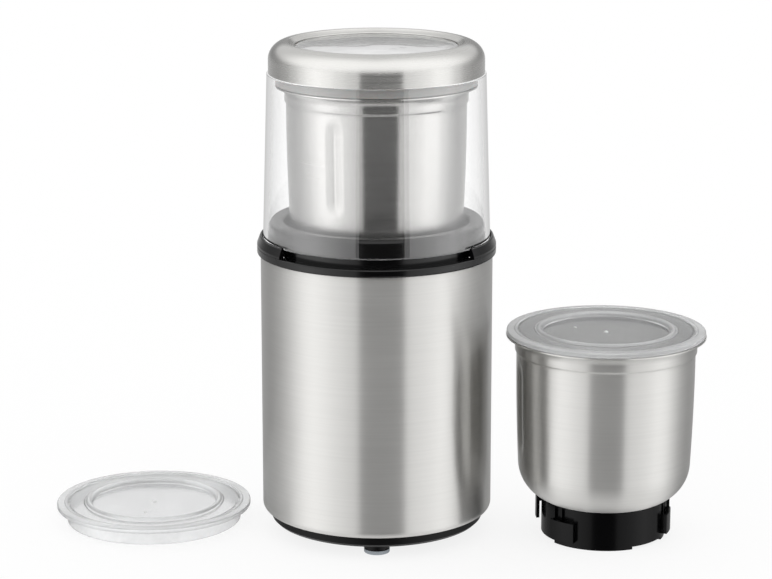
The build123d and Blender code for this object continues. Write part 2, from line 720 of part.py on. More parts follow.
with BuildPart() as brush_springs:
    spring_start = brush_tip + brush_length
    spring_end = holder_end - 1.5
    for side in (90, 270):
        with Locations(Location((0, 0, brush_level), (0, 0, side))):
            with Locations(Location((0, 0, 0), (0, 90, 0))):
                add(coil_spring(2.2, 0.35, spring_start + 0.05, spring_end - 0.05, 3))
brush_springs.part.label = "brush_springs"
export_step(brush_springs.part, "parts/brush_springs.step")

# Screws of the motor: four through the stator, four up through the rubber mounts
with BuildPart() as motor_screws:
    with BuildSketch(Plane.XY.offset(lower_plate_low - SCREW_HEAD_HEIGHT)):
        with Locations(*leg_places):
            Circle(SCREW_HEAD_RADIUS)
    extrude(amount=SCREW_HEAD_HEIGHT)
    with BuildSketch(Plane.XY.offset(lower_plate_low)):
        with Locations(*leg_places):
            Circle(SCREW_RADIUS)
    extrude(amount=stack_top - lower_plate_low + LEG_THREAD)
    with BuildSketch(Plane.XY.offset(plate_low - SCREW_HEAD_HEIGHT)):
        with PolarLocations(MOUNT_CIRCLE_RADIUS, 4):
            Circle(SCREW_HEAD_RADIUS)
    extrude(amount=SCREW_HEAD_HEIGHT)
    with BuildSketch(Plane.XY.offset(plate_low)):
        with PolarLocations(MOUNT_CIRCLE_RADIUS, 4):
            Circle(SCREW_RADIUS)
    extrude(amount=mount_top - plate_low + MOUNT_POST - 1.5)
motor_screws.part.label = "motor_screws"
export_step(motor_screws.part, "parts/motor_screws.step")

# Rubber mounts between the upper bracket and the collar's posts
with BuildPart() as rubber_mounts:
    with BuildSketch(Plane.XY.offset(plate_top)):
        with PolarLocations(MOUNT_CIRCLE_RADIUS, 4):
            Circle(RUBBER_RADIUS)
            Circle(screw_passage, mode=Mode.SUBTRACT)
    extrude(amount=RUBBER_HEIGHT)
rubber_mounts.part.label = "rubber_mounts"
export_step(rubber_mounts.part, "parts/rubber_mounts.step")

# Lip seal around the shaft, in the floor of the well
with BuildPart() as shaft_seal:
    add(
        turned(
            (SHAFT_RADIUS + 0.3, floor_underside - 1.2),
            (SHAFT_RADIUS + 4.5, floor_underside - 1.2),
            (SHAFT_RADIUS + 4.5, floor_underside),
            (SHAFT_RADIUS + 3.0 - SEAT_FIT, floor_underside),
            (SHAFT_RADIUS + 3.0 - SEAT_FIT, well_floor),
            (SHAFT_RADIUS + 1.6, well_floor + 0.3),
            (SHAFT_RADIUS + 0.3, well_floor - 0.5),
        )
    )
shaft_seal.part.label = "shaft_seal"
export_step(shaft_seal.part, "parts/shaft_seal.step")

# ---- Lid switch -----------------------------------------------------------------------

# Microswitch on the hanging web of the collar
with BuildPart() as switch_body:
    with Locations(switch_station):
        with Locations((switch_centre, 0, (switch_low + switch_top) / 2)):
            Box(SWITCH_WIDTH, SWITCH_LENGTH, SWITCH_HEIGHT)
        with Locations((switch_centre, 0, switch_top + 0.3)):
            Box(1.6, 2.8, 0.8)
        for shift in (-7.6, 1.2, 7.6):
            with Locations((switch_centre, shift, switch_low - 1.9)):
                Box(0.5, 3.2, 4.2)
        for shift in (-SWITCH_SCREW_SHIFT, SWITCH_SCREW_SHIFT):
            with Locations((switch_centre, shift, switch_screw_height)):
                Cylinder(SWITCH_SCREW_RADIUS + 0.1, SWITCH_WIDTH + 1, rotation=(0, 90, 0), mode=Mode.SUBTRACT)
switch_body.part.label = "switch_body"
export_step(switch_body.part, "parts/switch_body.step")

with BuildPart() as switch_screws:
    with Locations(switch_station):
        for shift in (-SWITCH_SCREW_SHIFT, SWITCH_SCREW_SHIFT):
            with Locations((switch_centre, shift, switch_screw_height)):
                Cylinder(SWITCH_SCREW_RADIUS, SWITCH_WIDTH + 2.2, rotation=(0, 90, 0))
            with Locations((switch_centre + SWITCH_WIDTH / 2 + 0.6, shift, switch_screw_height)):
                Cylinder(SWITCH_SCREW_RADIUS + 0.7, 1.2, rotation=(0, 90, 0))
switch_screws.part.label = "switch_screws"
export_step(switch_screws.part, "parts/switch_screws.step")

# Plunger: a rod under one tab of the dome, with an arm in to the microswitch
tab_bottom = deck - 0.2
with BuildPart() as switch_plunger:
    with Locations(switch_station):
        with Locations((plunger_circle, 0, (arm_low + tab_bottom) / 2)):
            Cylinder(PLUNGER_RADIUS, tab_bottom - arm_low)
        with Locations(((switch_centre - 1.5 + plunger_circle + 1) / 2, 0, arm_low + ARM_THICKNESS / 2)):
            Box(plunger_circle - switch_centre + 2.5, ARM_WIDTH, ARM_THICKNESS)
        with Locations((plunger_circle, 0, arm_low - 2.5)):
            Cylinder(0.75, 5.0)
switch_plunger.part.label = "switch_plunger"
export_step(switch_plunger.part, "parts/switch_plunger.step")

with BuildPart() as plunger_spring:
    with Locations(switch_station):
        with Locations((plunger_circle, 0, 0)):
            add(coil_spring(1.25, SPRING_WIRE / 2, spring_seat, arm_low, 4))
plunger_spring.part.label = "plunger_spring"
export_step(plunger_spring.part, "parts/plunger_spring.step")

# ---- Rotor ----------------------------------------------------------------------------

with BuildPart() as motor_shaft:
    add(
        turned(
            (0, lower_bearing_low - 0.5),
            (SHAFT_RADIUS, lower_bearing_low - 0.5),
            (SHAFT_RADIUS, drive_disc + COUPLING_DISC - 0.6),
            (0, drive_disc + COUPLING_DISC - 0.6),
        )
    )
motor_shaft.part.label = "motor_shaft"
export_step(motor_shaft.part, "parts/motor_shaft.step")

with BuildPart() as armature_core:
    with BuildSketch(Plane.XY.offset(stack_low)):
        Circle(ARMATURE_RADIUS)
        Circle(SHAFT_RADIUS + SEAT_FIT, mode=Mode.SUBTRACT)
        with PolarLocations(ARMATURE_RADIUS - SLOT_DEPTH / 2, SLOT_COUNT):
            Rectangle(SLOT_DEPTH + 0.6, 2.6, mode=Mode.SUBTRACT)
    extrude(amount=STACK_HEIGHT)
armature_core.part.label = "armature_core"
export_step(armature_core.part, "parts/armature_core.step")

with BuildPart() as armature_windings:
    winding_radius = ARMATURE_RADIUS - 1.0
    shaft_sleeve = SHAFT_RADIUS + SEAT_FIT
    add(
        turned(
            (shaft_sleeve, stack_top + 0.1),
            (winding_radius, stack_top + 0.1),
            (winding_radius, stack_top + COIL_OVERHANG - 2.5),
            (winding_radius - 3, stack_top + COIL_OVERHANG),
            (shaft_sleeve, stack_top + COIL_OVERHANG),
        )
    )
    add(
        turned(
            (shaft_sleeve, stack_low - COIL_OVERHANG - 2.5),
            (winding_radius - 4, stack_low - COIL_OVERHANG - 2.5),
            (winding_radius, stack_low - COIL_OVERHANG + 1),
            (winding_radius, stack_low - 0.1),
            (shaft_sleeve, stack_low - 0.1),
        )
    )
    with BuildSketch(Plane.XY.offset(stack_low - 1)):
        with PolarLocations(ARMATURE_RADIUS - SLOT_DEPTH / 2 - 0.3, SLOT_COUNT):
            Rectangle(SLOT_DEPTH - 0.8, 2.3)
    extrude(amount=STACK_HEIGHT + 2)
armature_windings.part.label = "armature_windings"
export_step(armature_windings.part, "parts/armature_windings.step")

with BuildPart() as commutator:
    with BuildSketch(Plane.XY.offset(commutator_low)):
        Circle(COMMUTATOR_RADIUS)
        Circle(SHAFT_RADIUS + SEAT_FIT, mode=Mode.SUBTRACT)
        with PolarLocations(COMMUTATOR_RADIUS, 2 * SLOT_COUNT):
            Rectangle(1.6, 0.5, mode=Mode.SUBTRACT)
    extrude(amount=COMMUTATOR_LENGTH)
    add(
        tube(SHAFT_RADIUS + SEAT_FIT, COMMUTATOR_RADIUS + 0.2, commutator_top, commutator_top + 1.4)
    )
commutator.part.label = "commutator"
export_step(commutator.part, "parts/commutator.step")

with BuildPart() as cooling_fan:
    add(tube(SHAFT_RADIUS + SEAT_FIT, SHAFT_RADIUS + 3.5, fan_low, fan_low + FAN_HEIGHT))
    add(tube(SHAFT_RADIUS + 1, FAN_RADIUS, fan_low + FAN_HEIGHT - FAN_DISC, fan_low + FAN_HEIGHT))
    with BuildSketch(Plane.XY.offset(fan_low)):
        with PolarLocations(FAN_RADIUS - 0.6 * FAN_BLADE_LENGTH, FAN_BLADES):
            Rectangle(FAN_BLADE_LENGTH, FAN_DISC, rotation=FAN_BLADE_SLANT)
    extrude(amount=FAN_HEIGHT - FAN_DISC / 2)
cooling_fan.part.label = "cooling_fan"
export_step(cooling_fan.part, "parts/cooling_fan.step")


def dog_disc(disc_low, dogs_low, dogs_high, turn):
    """Drive disc with two dogs, bored for its shaft afterwards."""
    with BuildPart() as disc:
        add(tube(0, DOG_RADIUS, disc_low, disc_low + COUPLING_DISC))
        for side in (turn, turn + 180):
            half = DOG_ARC / 2
            add(arc_block(DOG_RADIUS - 5.5, DOG_RADIUS, side - half, side + half, dogs_low, dogs_high))
    return disc.part


with BuildPart() as drive_coupling:
    add(
        dog_disc(
            drive_disc,
            drive_disc + COUPLING_DISC - 0.5,
            drive_disc + COUPLING_DISC + DOG_HEIGHT,
            MOUNTED_TURN,
        )
    )
    add(
        tube(0, SHAFT_RADIUS + SEAT_FIT, drive_disc, drive_disc + COUPLING_DISC - 0.6),
        mode=Mode.SUBTRACT,
    )
drive_coupling.part.label = "drive_coupling"
export_step(drive_coupling.part, "parts/drive_coupling.step")

# ---- Grinding cups, each modelled with its skirt's bottom at Z = 0 --------------------

floor_top = CUP_FLOOR + CUP_WALL
web_low = CUP_FLOOR - SKIRT_WEB
bearing_low = web_low - 2.0
driven_low = bearing_low - 1.5 - COUPLING_DISC
nut_height = 3.0
knife_low = bearing_low + BEARING_HEIGHT + 1.4


def bowl_form(grow):
    """Turned solid of the bowl's outside, grown or, for its inside, shrunk."""
    low = CUP_FLOOR - grow
    corner = CUP_CORNER + grow
    centre = CUP_RADIUS - CUP_CORNER
    flare_low = CUP_HEIGHT - CUP_WALL - FLARE_RADIUS
    neck_low = CUP_HEIGHT - NECK_HEIGHT
    with BuildPart() as form:
        with BuildSketch(Plane.XZ):
            with BuildLine():
                Line((0, low), (centre, low))
                CenterArc((centre, CUP_FLOOR + CUP_CORNER), corner, -90, 90)
                Polyline(
                    (CUP_RADIUS + grow, CUP_FLOOR + CUP_CORNER),
                    (CUP_RADIUS + grow, neck_low - NECK_STEP),
                    (neck_radius + grow, neck_low),
                    (neck_radius + grow, flare_low),
                )
                CenterArc((rim_radius, flare_low), FLARE_RADIUS - grow, 180, -90)
                Polyline(
                    (rim_radius, flare_low + FLARE_RADIUS - grow),
                    (rim_radius, CUP_HEIGHT + 1),
                    (0, CUP_HEIGHT + 1),
                    (0, low),
                )
            make_face()
        revolve(axis=Axis.Z)
    return form.part


def grooves(grow):
    """Two upright capsules that press the grooves into the wall."""
    tool_radius = (GROOVE_WIDTH**2 / 4 + GROOVE_DEPTH**2) / (2 * GROOVE_DEPTH)
    low = GROOVE_LOW + GROOVE_WIDTH / 2
    high = GROOVE_HIGH - GROOVE_WIDTH / 2
    with BuildPart() as tools:
        for side in (-1, 1):
            reach = side * (CUP_RADIUS - GROOVE_DEPTH + tool_radius)
            with Locations((0, reach, (low + high) / 2)):
                Cylinder(tool_radius + grow, high - low)
            with Locations((0, reach, low), (0, reach, high)):
                Sphere(tool_radius + grow)
    return tools.part


def make_bowl(groove_turn):
    """Pressed steel bowl with a flared rim and two upright grooves."""
    with BuildPart() as cavity:
        add(bowl_form(-CUP_WALL))
        with Locations(Location((0, 0, 0), (0, 0, groove_turn))):
            add(grooves(CUP_WALL), mode=Mode.SUBTRACT)
    with BuildPart() as bowl:
        add(bowl_form(0))
        with Locations(Location((0, 0, 0), (0, 0, groove_turn))):
            add(grooves(0), mode=Mode.SUBTRACT)
        with Locations((0, 0, CUP_HEIGHT + 5)):
            Box(4 * CUP_RADIUS, 4 * CUP_RADIUS, 10, mode=Mode.SUBTRACT)
        add(cavity.part, mode=Mode.SUBTRACT)
        add(tube(0, BEARING_RADIUS + SLIP, 0, floor_top + 1), mode=Mode.SUBTRACT)
    return bowl.part


def make_skirt():
    """Moulded skirt: bayonet lugs, hanging hooks, web and ribs, trimmed to the bowl."""
    hook_inner = lug_radius - HOOK_THICKNESS
    with BuildPart() as skirt:
        add(tube(skirt_radius - PLASTIC_WALL, skirt_radius, 0, CUP_FLOOR + 4))
        add(tube(BEARING_RADIUS + SLIP, skirt_radius - 1, web_low, CUP_FLOOR))
        for k in range(LUG_COUNT):
            turn = k * 360 / LUG_COUNT
            add(arc_block(skirt_radius - 1, lug_radius, turn - LUG_ARC, turn, LUG_BOTTOM, lug_top))
        for start in (5, 165):
            end = start + HOOK_ARC
            add(arc_block(hook_inner, lug_radius, start, end, HOOK_BOTTOM, CUP_FLOOR + 5))
            add(arc_block(skirt_radius - 1, lug_radius, start, end, CUP_FLOOR - 0.5, CUP_FLOOR + 5))
        with BuildSketch(Plane.XY.offset(web_low - 4)):
            with PolarLocations((DOG_RADIUS + skirt_radius) / 2 + 0.5, 2 * LUG_COUNT):
                Rectangle(skirt_radius - DOG_RADIUS - 3, 1.6)
        extrude(amount=5)
        for k in range(LUG_COUNT):
            turn = k * 360 / LUG_COUNT
            relief_end = turn - LUG_ARC
            add(
                arc_block(skirt_radius - 3, skirt_radius + 1, relief_end - 41, relief_end, -1, SKIRT_RELIEF),
                mode=Mode.SUBTRACT,
            )
            for start, end in ((turn - LUG_ARC, turn - 17), (turn - 15.5, turn - 2)):
                add(
                    arc_block(skirt_radius - 1.1, skirt_radius + 1, start, end, lug_top, CUP_FLOOR + 1),
                    mode=Mode.SUBTRACT,
                )
        add(bowl_form(SLIP), mode=Mode.SUBTRACT)
    return skirt.part


def make_bearing():
    """Flanged bush that clamps the skirt and the bowl together with its nut."""
    bore = SPINDLE_RADIUS + RUN_FIT
    return turned(
        (bore, bearing_low),
        (BEARING_FLANGE, bearing_low),
        (BEARING_FLANGE, web_low),
        (BEARING_RADIUS, web_low),
        (BEARING_RADIUS, bearing_low + BEARING_HEIGHT),
        (bore, bearing_low + BEARING_HEIGHT),
    )


def make_bearing_nut():
    """Hexagonal nut on the bush, inside the bowl."""
    with BuildPart() as nut:
        with BuildSketch(Plane.XY.offset(floor_top)):
            RegularPolygon(NUT_FLATS / 2, 6, major_radius=False)
            Circle(BEARING_RADIUS + SEAT_FIT, mode=Mode.SUBTRACT)
        extrude(amount=nut_height)
    return nut.part


def make_spindle():
    """Spindle, shouldered under the knife."""
    return turned(
        (0, driven_low + 0.6),
        (SPINDLE_RADIUS, driven_low + 0.6),
        (SPINDLE_RADIUS, bearing_low + BEARING_HEIGHT + 0.2),
        (SPINDLE_RADIUS + 1.6, bearing_low + BEARING_HEIGHT + 0.2),
        (SPINDLE_RADIUS + 1.6, knife_low),
        (SPINDLE_RADIUS - 0.6, knife_low),
        (SPINDLE_RADIUS - 0.6, knife_low + 6.0),
        (0, knife_low + 6.0),
    )


def blade_pair(low, rise, reach):
    """Two-armed blade with tips bent by an angle, cut to its plan outline and ground."""
    height = (reach - KNIFE_FLAT) * tan(radians(rise))
    half = KNIFE_WIDTH / 2
    with BuildPart() as pair:
        with BuildSketch(Plane.XZ):
            with BuildLine():
                Polyline(
                    (-reach, low + height),
                    (-KNIFE_FLAT, low),
                    (KNIFE_FLAT, low),
                    (reach, low + height),
                    (reach, low + height + KNIFE_THICKNESS),
                    (KNIFE_FLAT, low + KNIFE_THICKNESS),
                    (-KNIFE_FLAT, low + KNIFE_THICKNESS),
                    (-reach, low + height + KNIFE_THICKNESS),
                    close=True,
                )
            make_face()
        extrude(amount=KNIFE_WIDTH, both=True)
        with BuildSketch():
            Circle(half + 2)
            for way in (1, -1):
                with BuildLine():
                    Polyline(
                        (0, -way * half),
                        (way * (reach - 6), -way * half),
                        (way * reach, way * half * 0.3),
                        (way * (reach - 2.5), way * half),
                        (0, way * half),
                        close=True,
                    )
                make_face()
        extrude(amount=CUP_HEIGHT, mode=Mode.INTERSECT)
    return pair.part


def make_knife(blade_count):
    """Knife of one raised pair of blades, or of a raised and a lowered pair crossed."""
    with BuildPart() as knife:
        add(blade_pair(knife_low, KNIFE_RISE_ANGLE, KNIFE_RADIUS))
        if blade_count == 4:
            with Locations(Location((0, 0, KNIFE_THICKNESS), (0, 0, 90))):
                add(blade_pair(knife_low, KNIFE_DROP_ANGLE, KNIFE_RADIUS - 2.5))
        add(tube(0, SPINDLE_RADIUS - 0.6 + SEAT_FIT, 0, CUP_HEIGHT), mode=Mode.SUBTRACT)
    return knife.part


def make_knife_nut(blade_count):
    """Domed nut that holds the knife down on the spindle's shoulder."""
    low = knife_low + KNIFE_THICKNESS * blade_count / 2
    with BuildPart() as nut:
        with BuildSketch(Plane.XY.offset(low)):
            RegularPolygon(4.5, 6, major_radius=False)
        extrude(amount=3.2)
        add(turned((0, low + 3), (4.3, low + 3), (3.4, low + 5.2), (0, low + 6.4)))
        add(tube(0, SPINDLE_RADIUS - 0.6 + SEAT_FIT, low - 1, knife_low + 6.0), mode=Mode.SUBTRACT)
    return nut.part


def make_driven_coupling():
    """Driven disc with two hanging dogs, a quarter turn from the driving dogs."""
    with BuildPart() as coupling:
        add(dog_disc(driven_low, driven_low - DOG_HEIGHT, driven_low + 0.5, 90))
        add(
            tube(0, SPINDLE_RADIUS + SEAT_FIT, driven_low + 0.6, driven_low + COUPLING_DISC + 1),
            mode=Mode.SUBTRACT,
        )
    return coupling.part


def make_clip():
    """Retaining clip between the driven disc and the bush."""
    clip_low = driven_low + COUPLING_DISC + 0.2
    with BuildPart() as clip:
        with BuildSketch(Plane.XY.offset(clip_low)):
            add(sector(SPINDLE_RADIUS + SEAT_FIT, SPINDLE_RADIUS + 2.0, 20, 340))
        extrude(amount=0.9)
    return clip.part


for prefix, place, blade_count, groove_turn in (
    ("cup", mounted, 2, GROOVE_TURN),
    ("spare", spare, 4, GROOVE_TURN),
):
    pieces = {
        "bowl": make_bowl(groove_turn),
        "skirt": make_skirt(),
        "bearing": make_bearing(),
        "bearing_nut": make_bearing_nut(),
        "spindle": make_spindle(),
        "knife": make_knife(blade_count),
        "knife_nut": make_knife_nut(blade_count),
        "coupling": make_driven_coupling(),
        "clip": make_clip(),
    }
    for name, piece in pieces.items():
        with BuildPart() as cup_piece:
            with Locations(place):
                add(piece)
        cup_piece.part.label = f"{prefix}_{name}"
        export_step(cup_piece.part, f"parts/{prefix}_{name}.step")

# ---- Lid: clear dome, steel cap, and the soft seal that it presses on -----------------

# Seal on the rim of the mounted cup
seal_inner = rim_radius - SEAL_WIDTH
with BuildPart() as rim_seal:
    add(
        turned(
            (seal_inner + SEAL_LIP, cup_rim),
            (rim_radius - 1.0, cup_rim),
            (rim_radius, cup_rim + 1.2),
            (rim_radius, rib_bottom - 1.0),
            (rim_radius - 0.8, rib_bottom),
            (seal_inner, rib_bottom),
            (seal_inner, cup_rim + 1.0),
        )
    )
rim_seal.part.label = "rim_seal"
export_step(rim_seal.part, "parts/rim_seal.step")

# Clear dome with a pressing rib inside and four tabs under its bottom edge
cap_inner = cap_radius - CAP_WALL
neck_outer = cap_inner - 0.3
with BuildPart() as lid_dome:
    add(
        turned(
            (dome_base_radius, dome_bottom),
            (dome_top_radius, dome_top - 0.4),
            (dome_top_radius - 0.4, dome_top),
            (neck_outer, dome_top),
            (neck_outer, panel_top - 5.0),
            (neck_outer - 1.6, panel_top - 1.6),
            (neck_outer - 5.0, panel_top),
            (0, panel_top),
            (0, panel_top - DOME_WALL),
            (seal_inner + CLEAR, panel_top - DOME_WALL),
            (seal_inner + CLEAR, rib_bottom),
            (seal_inner + CLEAR + DOME_WALL, rib_bottom),
            (seal_inner + CLEAR + DOME_WALL, panel_top - 5.0),
            (neck_outer - DOME_WALL, panel_top - 5.5),
            (neck_outer - DOME_WALL, dome_top - 1.0),
            (dome_top_radius - DOME_WALL, dome_top - 2.4),
            (dome_base_inner, dome_bottom),
        )
    )
    tab_half = pocket_half_angle - 1.0
    for angle in pocket_angles:
        add(
            arc_block(
                dome_base_inner + 0.1,
                dome_base_radius - 0.05,
                angle - tab_half,
                angle + tab_half,
                tab_bottom,
                dome_bottom + 1.2,
            )
        )
lid_dome.part.label = "lid_dome"
export_step(lid_dome.part, "parts/lid_dome.step")

# Steel cap: rounded edge, step down to the window, rolled window edge
with BuildPart() as lid_cap:
    with BuildSketch(Plane.XZ):
        with BuildLine():
            crest = cap_radius - CAP_EDGE_RADIUS
            turn_height = cap_top - CAP_EDGE_RADIUS
            step = window_radius + 3.2
            edge_top = cap_top - WINDOW_DROP
            Line((cap_radius, dome_top), (cap_radius, turn_height))
            CenterArc((crest, turn_height), CAP_EDGE_RADIUS, 0, 90)
            Polyline(
                (crest, cap_top),
                (step + 0.6, cap_top),
                (step, cap_top - 0.7),
                (window_radius + 0.6, edge_top),
                (window_radius, edge_top - 0.3),
                (window_radius, edge_top - CAP_WALL),
                (window_radius + 0.8, edge_top - CAP_WALL),
                (step, cap_top - 0.7 - CAP_WALL),
                (step + 0.6, cap_top - CAP_WALL),
                (crest, cap_top - CAP_WALL),
            )
            CenterArc((crest, turn_height), CAP_EDGE_RADIUS - CAP_WALL, 90, -90)
            Polyline(
                (cap_radius - CAP_WALL, turn_height),
                (cap_radius - CAP_WALL, dome_top),
                (cap_radius, dome_top),
            )
        make_face()
    revolve(axis=Axis.Z)
lid_cap.part.label = "lid_cap"
export_step(lid_cap.part, "parts/lid_cap.step")

# ---- Storage lids, one on the spare cup and one loose ---------------------------------

plug_radius = neck_radius - CUP_WALL - 0.3
flange_radius = rim_radius - FLANGE_INSET
bead_radius = plug_radius - BEAD_INSET
lid_top = PLUG_DEPTH + FLANGE_THICKNESS
for label, place in (
    ("spare_storage_lid", Location((SPARE_X, SPARE_Y, CUP_HEIGHT - PLUG_DEPTH))),
    ("loose_storage_lid", Location((LOOSE_X, LOOSE_Y, 0))),
):
    with BuildPart() as storage_lid:
        with Locations(place):
            bead_outer = bead_radius + BEAD_WIDTH / 2
            bead_inner = bead_radius - BEAD_WIDTH / 2
            ridge = plug_radius + 0.6
            panel = lid_top - PANEL_DROP
            add(
                turned(
                    (flange_radius, PLUG_DEPTH),
                    (flange_radius, lid_top),
                    (ridge + 0.7, lid_top),
                    (ridge + 0.3, lid_top + 0.4),
                    (ridge - 0.3, lid_top + 0.4),
                    (ridge - 0.7, lid_top),
                    (bead_outer, lid_top),
                    (bead_outer - 0.5, lid_top + BEAD_HEIGHT),
                    (bead_inner + 0.5, lid_top + BEAD_HEIGHT),
                    (bead_inner, panel),
                    (0, panel),
                    (0, panel - PLUG_WALL),
                    (bead_outer, panel - PLUG_WALL),
                    (bead_outer + 1.0, lid_top - PLUG_WALL),
                    (plug_radius - PLUG_WALL, lid_top - PLUG_WALL),
                    (plug_radius - PLUG_WALL, 0),
                    (plug_radius - 0.5, 0),
                    (plug_radius, 0.8),
                    (plug_radius, PLUG_DEPTH),
                )
            )
    storage_lid.part.label = label
    export_step(storage_lid.part, f"parts/{label}.step")
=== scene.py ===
import math

import bpy
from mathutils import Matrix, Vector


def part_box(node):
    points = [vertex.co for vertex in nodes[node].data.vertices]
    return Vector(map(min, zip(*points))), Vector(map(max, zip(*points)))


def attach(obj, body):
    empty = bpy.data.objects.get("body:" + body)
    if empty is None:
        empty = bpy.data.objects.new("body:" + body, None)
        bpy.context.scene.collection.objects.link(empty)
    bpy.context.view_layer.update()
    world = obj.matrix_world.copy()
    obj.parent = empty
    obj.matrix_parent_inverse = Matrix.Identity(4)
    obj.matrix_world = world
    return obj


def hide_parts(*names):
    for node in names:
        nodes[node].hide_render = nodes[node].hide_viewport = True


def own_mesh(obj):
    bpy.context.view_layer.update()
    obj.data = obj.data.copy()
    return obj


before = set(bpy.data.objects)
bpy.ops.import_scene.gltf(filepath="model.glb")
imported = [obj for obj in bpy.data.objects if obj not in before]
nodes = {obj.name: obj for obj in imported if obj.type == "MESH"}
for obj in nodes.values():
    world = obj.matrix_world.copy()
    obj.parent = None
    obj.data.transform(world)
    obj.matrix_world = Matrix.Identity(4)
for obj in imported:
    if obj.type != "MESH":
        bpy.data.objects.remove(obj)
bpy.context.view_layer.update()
scene = bpy.context.scene
scene.view_settings.view_transform = "Standard"


# ---- Camera ---------------------------------------------------------------------------
# A long lens in front of the grinder, a little above its lid and tilted down, so that the
# dome, the collar and both storage lids show their top faces.

camera_data = bpy.data.cameras.new("camera")
camera_data.lens = 129.612
camera_data.sensor_width = 36.0
camera = bpy.data.objects.new("camera", camera_data)
camera.location = (0.0, -1.227778, 0.408946)
camera.rotation_euler = (math.radians(90 - 13.59569), 0.0, math.radians(-0.197596))
scene.collection.objects.link(camera)
scene.camera = camera


# ---- Light tent -----------------------------------------------------------------------
# A round tent of white cloth, lit from both sides of the lens: a bright belt a little below
# the horizon, a top that is brighter over the lens, and an even floor. Only gloss sees them:
# what is matt gets an even white.

world = bpy.data.worlds.new("light_tent")
scene.world = world
world.cycles.sampling_method = "NONE"
world.use_nodes = True
tent = world.node_tree
tent.nodes.clear()


def add_node(tree, kind, operation=None, inputs=()):
    """Node with numbers or links for its inputs, in order; None leaves an input alone."""
    node = tree.nodes.new(kind)
    if operation:
        node.operation = operation
    for i, value in enumerate(inputs):
        if isinstance(value, (int, float)):
            node.inputs[i].default_value = value
        elif value is not None:
            tree.links.new(value, node.inputs[i])
    return node


def add_sum(tree, operation, *inputs):
    """Result of one sum on numbers or links."""
    return add_node(tree, "ShaderNodeMath", operation, inputs).outputs[0]


def add_ramp(tree, value, low, high, at_low, at_high):
    """Value that turns smoothly from one number to another."""
    ramp = add_node(tree, "ShaderNodeMapRange", None, [value, low, high, at_low, at_high])
    ramp.interpolation_type = "SMOOTHSTEP"
    return ramp.outputs["Result"]


def add_blend(tree, share, first, second):
    """Number between two numbers or links."""
    blend = tree.nodes.new("ShaderNodeMix")
    blend.data_type = "FLOAT"
    for socket, value in ((0, share), (2, first), (3, second)):
        if isinstance(value, (int, float)):
            blend.inputs[socket].default_value = value
        else:
            tree.links.new(value, blend.inputs[socket])
    return blend.outputs[0]


direction = tent.nodes.new("ShaderNodeTexCoord").outputs["Generated"]
ray = add_node(tent, "ShaderNodeSeparateXYZ", None, [direction])
towards_lens = add_sum(tent, "MULTIPLY", ray.outputs["Y"], -1.0)
azimuth = add_sum(tent, "ARCTAN2", ray.outputs["X"], towards_lens)
cloth = tent.nodes.new("ShaderNodeValToRGB")
tent.links.new(add_sum(tent, "MULTIPLY_ADD", azimuth, 0.5 / math.pi, 0.5), cloth.inputs[0])
cloth.color_ramp.interpolation = "EASE"
# Degrees from the lens, to the right, and the brightness of the cloth there
cloth_light = (
    (-180, 0.26), (-150, 0.23), (-129, 0.23), (-112, 0.30), (-98, 0.46), (-87, 0.68), (-76, 0.90),
    (-66, 0.98), (-54, 0.88), (-40, 0.69), (-26, 0.52), (-10, 0.42), (12, 0.42), (36, 0.60),
    (46, 0.69), (56, 0.79), (67, 0.93), (80, 0.88), (95, 0.56), (109, 0.32), (124, 0.24),
    (150, 0.23), (180, 0.26),
)
stops = cloth.color_ramp.elements
for i, (degrees, light) in enumerate(cloth_light):
    place = degrees / 360 + 0.5
    stop = stops[i] if i < 2 else stops.new(place)
    stop.position = place
    stop.color = (light, light, light, 1)
belt_light = 1.30
cloth_share = 0.74
roof_light = 0.95
roof_light_behind = 0.50
floor_light = 0.60
light_strength = 1.90
# Soft edges of the panels: the upright share of a ray's direction where each starts and ends
floor_edge = (-0.75, -0.40)
belt_foot_edge = (-0.31, -0.23)
belt_head_edge = (-0.06, 0.02)
roof_edge = (0.17, 0.31)
roof_fade = (math.radians(95), math.radians(150))
turned_away = add_sum(tent, "ABSOLUTE", azimuth)
belt_foot = add_ramp(tent, ray.outputs["Z"], *belt_foot_edge, 0.0, 1.0)
belt_head = add_ramp(tent, ray.outputs["Z"], *belt_head_edge, 1.0, 0.0)
belt = add_sum(tent, "MULTIPLY", belt_foot, belt_head)
wall_light = add_blend(tent, belt, cloth_share, belt_light)
walls = add_sum(tent, "MULTIPLY", cloth.outputs["Color"], wall_light)
floor = add_ramp(tent, ray.outputs["Z"], *floor_edge, 1.0, 0.0)
low_tent = add_blend(tent, floor, walls, floor_light)
roof = add_ramp(tent, ray.outputs["Z"], *roof_edge, 0.0, 1.0)
roof_panel = add_ramp(tent, turned_away, *roof_fade, roof_light, roof_light_behind)
all_panels = add_blend(tent, roof, low_tent, roof_panel)
panels = add_node(tent, "ShaderNodeBackground", None, [all_panels, light_strength])
even_white = tent.nodes.new("ShaderNodeBackground")
even_white.inputs["Color"].default_value = (1, 1, 1, 1)
path = tent.nodes.new("ShaderNodeLightPath").outputs
first_bounce = 0.5
from_gloss = add_sum(tent, "GREATER_THAN", path["Glossy Depth"], first_bounce)
before_matt = add_sum(tent, "LESS_THAN", path["Diffuse Depth"], first_bounce)
sees_panels = add_sum(tent, "MULTIPLY", from_gloss, before_matt)
tent_light = add_node(
    tent, "ShaderNodeMixShader", None, [sees_panels, even_white.outputs[0], panels.outputs[0]]
)
add_node(tent, "ShaderNodeOutputWorld", None, [tent_light.outputs[0]])


# ---- Dark gap in the tent -------------------------------------------------------------
# The gap between the two lit cloths, through which the lens looks in: an upright dark sheet,
# soft at its head and foot. Only gloss and the light inside clear plastic see it.

